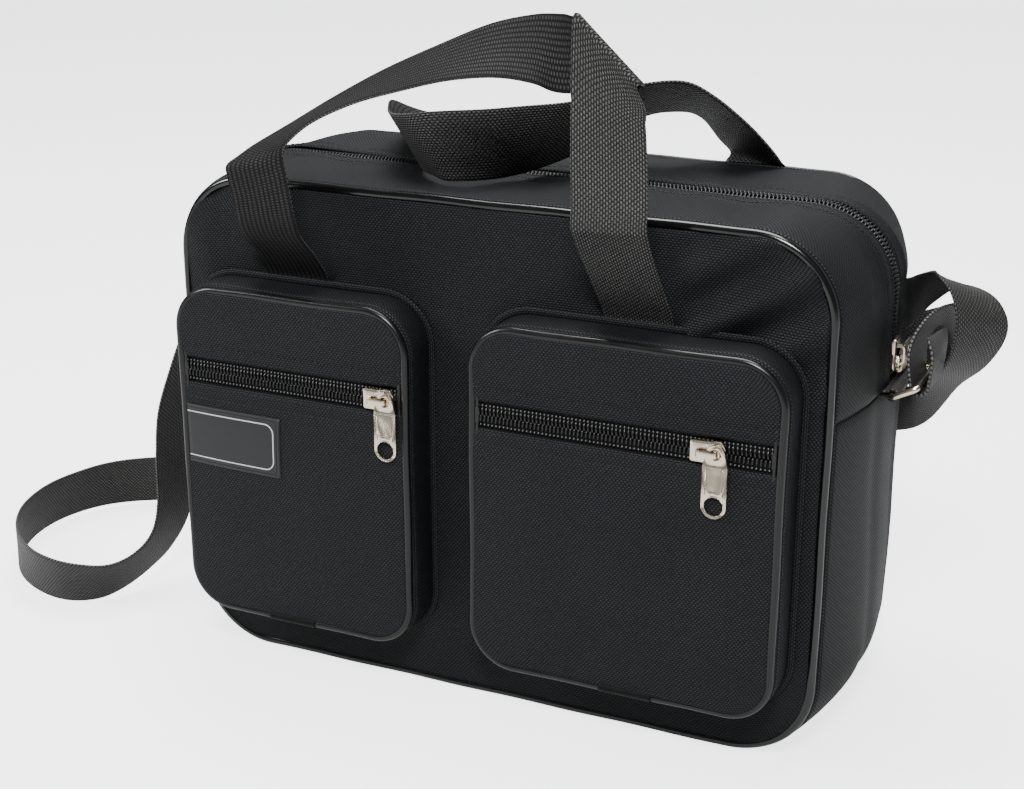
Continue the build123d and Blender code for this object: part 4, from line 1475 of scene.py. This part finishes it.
# %% Rear handle: fallen forward over the top of the bag
rear_route = [
    foot_pair(-100, 75.9, 197),
    foot_pair(-100, 75.9, 240),
    foot_pair(-100, 75.9, 282),
    ((-119, 75.6, 293), (-81, 75.6, 292.5)),
    ((-118, 66, 304), (-80, 66, 300)),
    ((-114, 40, 314), (-80, 40, 297)),
    ((-99, 10, 316), (-76, 10, 292)),
    ((-82, -20, 317), (-61, -27, 293)),
    ((-62, -42, 323), (-42, -46, 292)),
    ((-38, -46, 327), (-30, -49, 291)),
    ((-8, -31, 329), (-8, -31, 291)),
    ((22, -8, 331), (14, 8, 297)),
    ((50, 16, 338), (40, 44, 314)),
    ((71, 31, 339), (59, 60, 317)),
    ((85, 40, 331), (70, 69, 313)),
    ((100, 50, 317), (79, 76, 300)),
    ((109, 62, 302), (84, 81, 295)),
    ((116.5, 69, 291.5), (84, 84, 290)),
    foot_pair(101, 75.9, 281, True),
    foot_pair(101, 75.9, 240, True),
    foot_pair(101, 75.9, 197, True),
]
rear_handle, rear_length = band("rear_handle_webbing", rear_route, 6, True)
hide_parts("rear_handle", "rear_handle_feet")
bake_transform(rear_handle)

# %% [markdown]
# ## Webbing round a ring
# At both ends the strap passes round a ring's outer bar. A half circle of stations stands a little off
# the wire, the way stiff webbing does.

# %% Stations round a ring's bar
def round_bar(way, turn_from, turn_to, count=8):
    """Edge points round the ring's outer bar; the angle starts on the bag's side and turns over the top."""
    radius = wire_r / MM + 2.0 + web_thick / MM / 2
    bar_x, bar_z = (tab_bar[0] + ring_reach[0]) / MM, (tab_bar[1] + ring_reach[1]) / MM
    rows = []
    for i in range(count + 1):
        angle = math.radians(turn_from + (turn_to - turn_from) * i / count)
        x = way * (bar_x - radius * math.cos(angle))
        z = bar_z + radius * math.sin(angle)
        rows.append(((x, -19, z), (x, 19, z)))
    return rows


print("stations round a bar:", len(round_bar(1, 0, -180)))

# %% [markdown]
# ## The shoulder strap
# It hangs from the left ring to the floor, lies there on edge in a wide loop, rises behind the bag and
# doubles back before it passes round the right ring. It is one band of one width, with its stations in
# the order that a hand would feed it.

# %% Shoulder strap: from ring to ring, down to the floor at the left and round behind the bag
strap_route = [
    ((-217, -19, 166), (-217, 19, 166)),
    ((-216.4, -19, 182), (-216.4, 19, 182)),
    *round_bar(-1, 0, 180),
    ((-228, -22, 182), (-227, 16, 182)),
    ((-236, -31, 152), (-234, 7, 153)),
    ((-243, -38, 122), (-239, -1, 122)),
    ((-245, -41, 92), (-241, -4, 88)),
    ((-245, -43, 62), (-245, -9, 46)),
    ((-246, -50, 44), (-253, -20, 23)),
    ((-249, -66, 36), (-259, -37, 12)),
    ((-257, -81, 33), (-266, -56, 5)),
    ((-271, -90, 34), (-276, -71, 1.5)),
    ((-290, -94, 36), (-294, -80, 1)),
    ((-314, -87, 37), (-319, -76, 1)),
    ((-340, -67, 38), (-345, -61, 1)),
    ((-359, -38, 38.5), (-366, -36, 1)),
    ((-367, -4, 38.5), (-377, -4, 1.5)),
    ((-363, 26, 38.5), (-375, 28, 2)),
    ((-350, 52, 39), (-360, 57, 2)),
    ((-322, 74, 39), (-329, 80, 1.5)),
    ((-284, 87, 39), (-288, 93, 1.5)),
    ((-240, 92, 40), (-241, 97, 2)),
    ((-190, 93, 46), (-182, 96, 9)),
    ((-136, 90, 68), (-118, 92, 34)),
    ((-86, 86, 100), (-66, 87, 67)),
    ((-36, 83, 133), (-16, 83, 100)),
    ((14, 81, 163), (32, 81, 129)),
    ((64, 80.5, 188), (78, 80.5, 152)),
    ((112, 80.5, 208), (120, 81.5, 171)),
    ((154, 79.5, 221), (158, 85, 183)),
    ((188, 78, 229), (186, 92, 193)),
    ((201, 60, 238), (198, 80, 205)),
    ((212, 40, 246), (209, 69, 220)),
    ((218, 24, 248), (224, 58, 234)),
    ((226, 18, 242), (242, 51, 233)),
    ((230, 16, 230), (252, 47, 223)),
    ((230, 17, 217), (252, 48, 210)),
    ((227, 20, 203), (242, 53, 192)),
    ((217, 29, 188), (227, 64, 175)),
    ((205, 50, 174), (209, 76, 147)),
    ((190, 79, 168), (188, 92, 133)),
    ((160, 86, 169), (159, 92, 131)),
    ((124, 88, 171), (124, 92, 133)),
    ((104, 92, 172), (104, 95, 134)),
    ((96, 99, 173), (96, 101, 135)),
    ((104, 106, 174), (105, 107, 136)),
    ((130, 110, 178), (133, 110, 140)),
    ((166, 112, 189), (172, 112, 151)),
    ((198, 109, 203), (203, 109, 166)),
    ((219, 94, 214), (221, 95, 177)),
    ((228, 68, 222), (226, 74, 185)),
    ((225, 38, 230), (223, 58, 198)),
    ((219, 14, 231), (220, 47, 213)),
    ((214, -4, 224), (217, 33, 217)),
    ((213, -14, 214), (215, 24, 211)),
    *round_bar(1, 0, -180),
    ((225.5, -16, 214), (225.5, 22, 214)),
    ((221.5, -11, 224), (223.5, 27, 220)),
]
strap, strap_length = band("shoulder_strap_webbing", strap_route, 5, True, inner=webbing_finish)
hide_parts("shoulder_strap")
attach(strap, "root")

# %% [markdown]
# ## Ring tabs
# A short fold of narrower webbing holds each ring's inner bar and is sewn into the seam of the gusset.
# It is bent round the bar in a near full circle, with its two ends flat against each other.

# %% Ring tabs: short webbing folded round the inner bar of each ring
eye = 2.0 + 0.8                                     # from the bar's middle to the middle of the webbing
bar_x, bar_z = tab_bar[0] / MM, tab_bar[1] / MM
for side, way in (("left", -1), ("right", 1)):
    path = [(bar_x - 9, bar_z + 0.9), (bar_x - 5, bar_z + 1.2)]
    path += [(bar_x - eye * math.cos(math.radians(a)), bar_z + eye * math.sin(math.radians(a)))
             for a in range(30, 331, 20)]
    path += [(bar_x - 5, bar_z - 1.2), (bar_x - 9, bar_z - 0.9)]
    stations = [((way * x, -18, z), (way * x, 18, z)) for x, z in path]
    tab, tab_length = band(f"{side}_tab_webbing", stations, 2, way < 0, width=36, thick=1.5)
    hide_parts(f"{side}_ring_tab")
    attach(tab, "root")

# %% [markdown]
# ## Floor and background
# The bag stands on a pale floor that runs up behind it without a corner. A black bag before a nearly
# white ground is hard to light: a ground bright enough would throw grey over the cloth. The floor and the
# world therefore have two strengths, a high one that only the camera sees and a low one for all else.

# %% Floor and background
clear()
bpy.ops.mesh.primitive_plane_add(size=1, location=(0, 0, -0.0004))
floor = bpy.context.object
floor.scale = (14, 6, 1)
settle(floor, "floor")
pick(floor, "edges", lambda edge: all(v.co.y > 1 for v in edge.verts))
for back, up in ((600, 250), (300, 800), (100, 3000)):
    extrude(0, back, up)
clear()
bpy.context.view_layer.objects.active = floor
floor.select_set(True)
bpy.ops.object.shade_smooth()
floor_finish = plain("Pale floor", (0.55, 0.555, 0.56), 0.55, grain=0.02 * MM, scale=40, spread=0.01)
floor_shader = floor_finish.node_tree.nodes["Principled BSDF"]
floor_shader.inputs["Emission Color"].default_value = (0.97, 0.98, 1.0, 1)
floor.data.materials.append(floor_finish)


def seen_or_lit(tree, socket, seen, lit):
    """A strength for what the camera sees directly, and another for the light it throws on the bag."""
    path = tree.nodes.new("ShaderNodeLightPath")
    range_node(tree, path.outputs["Is Camera Ray"], lit, seen, socket)


seen_or_lit(floor_finish.node_tree, floor_shader.inputs["Emission Strength"], 2.7, 0.16)

world = bpy.data.worlds.new("Studio")
bpy.context.scene.world = world
world.use_nodes = True
world.node_tree.nodes["Background"].inputs["Color"].default_value = (0.95, 0.97, 1.0, 1)
seen_or_lit(world.node_tree, world.node_tree.nodes["Background"].inputs["Strength"], 3.3, 0.16)
print("floor and world made")

# %% [markdown]
# ## Lights
# Three soft lamps. The key stands in front, above and to the right, and draws bright lines along the
# piping. A weaker one at the left opens the near side, and a broad one overhead lifts the top of the bag
# from its ground.

# %% Lights
def soft_light(name, place, aim, size, power, tint=(1, 1, 1)):
    clear()
    bpy.ops.object.light_add(type="AREA", location=place)
    lamp = bpy.context.object
    lamp.name = name
    lamp.data.size = size
    lamp.data.energy = power
    lamp.data.color = tint
    lamp.rotation_mode = "QUATERNION"
    lamp.rotation_quaternion = (Vector(aim) - Vector(place)).to_track_quat("-Z", "Y")
    return lamp


soft_light("key_light", (0.55, -1.55, 1.85), (0, 0, 0.2), 0.55, 84)
soft_light("left_light", (-1.6, -1.0, 1.2), (0, 0, 0.15), 0.7, 40)
soft_light("top_light", (-0.1, 0.35, 1.9), (0, 0, 0.1), 1.2, 68)
print("lights made")

# %% [markdown]
# ## Camera
# It looks down a little from the front right, about a metre off, with a lens slightly longer than
# normal, so the bag's near corner comes forward without being stretched.

# %% Camera
eye_place = Vector((0.3729, -0.8609, 0.4913))
look_at = Vector((-0.0176, 0.0, 0.1547))
clear()
bpy.ops.object.camera_add(location=eye_place)
camera = bpy.context.object
camera.rotation_mode = "QUATERNION"
camera.rotation_quaternion = (look_at - eye_place).to_track_quat("-Z", "Y")
camera.data.sensor_width = 36
camera.data.lens = 60.17
bpy.context.scene.camera = camera
print("camera distance", round((look_at - eye_place).length, 3))
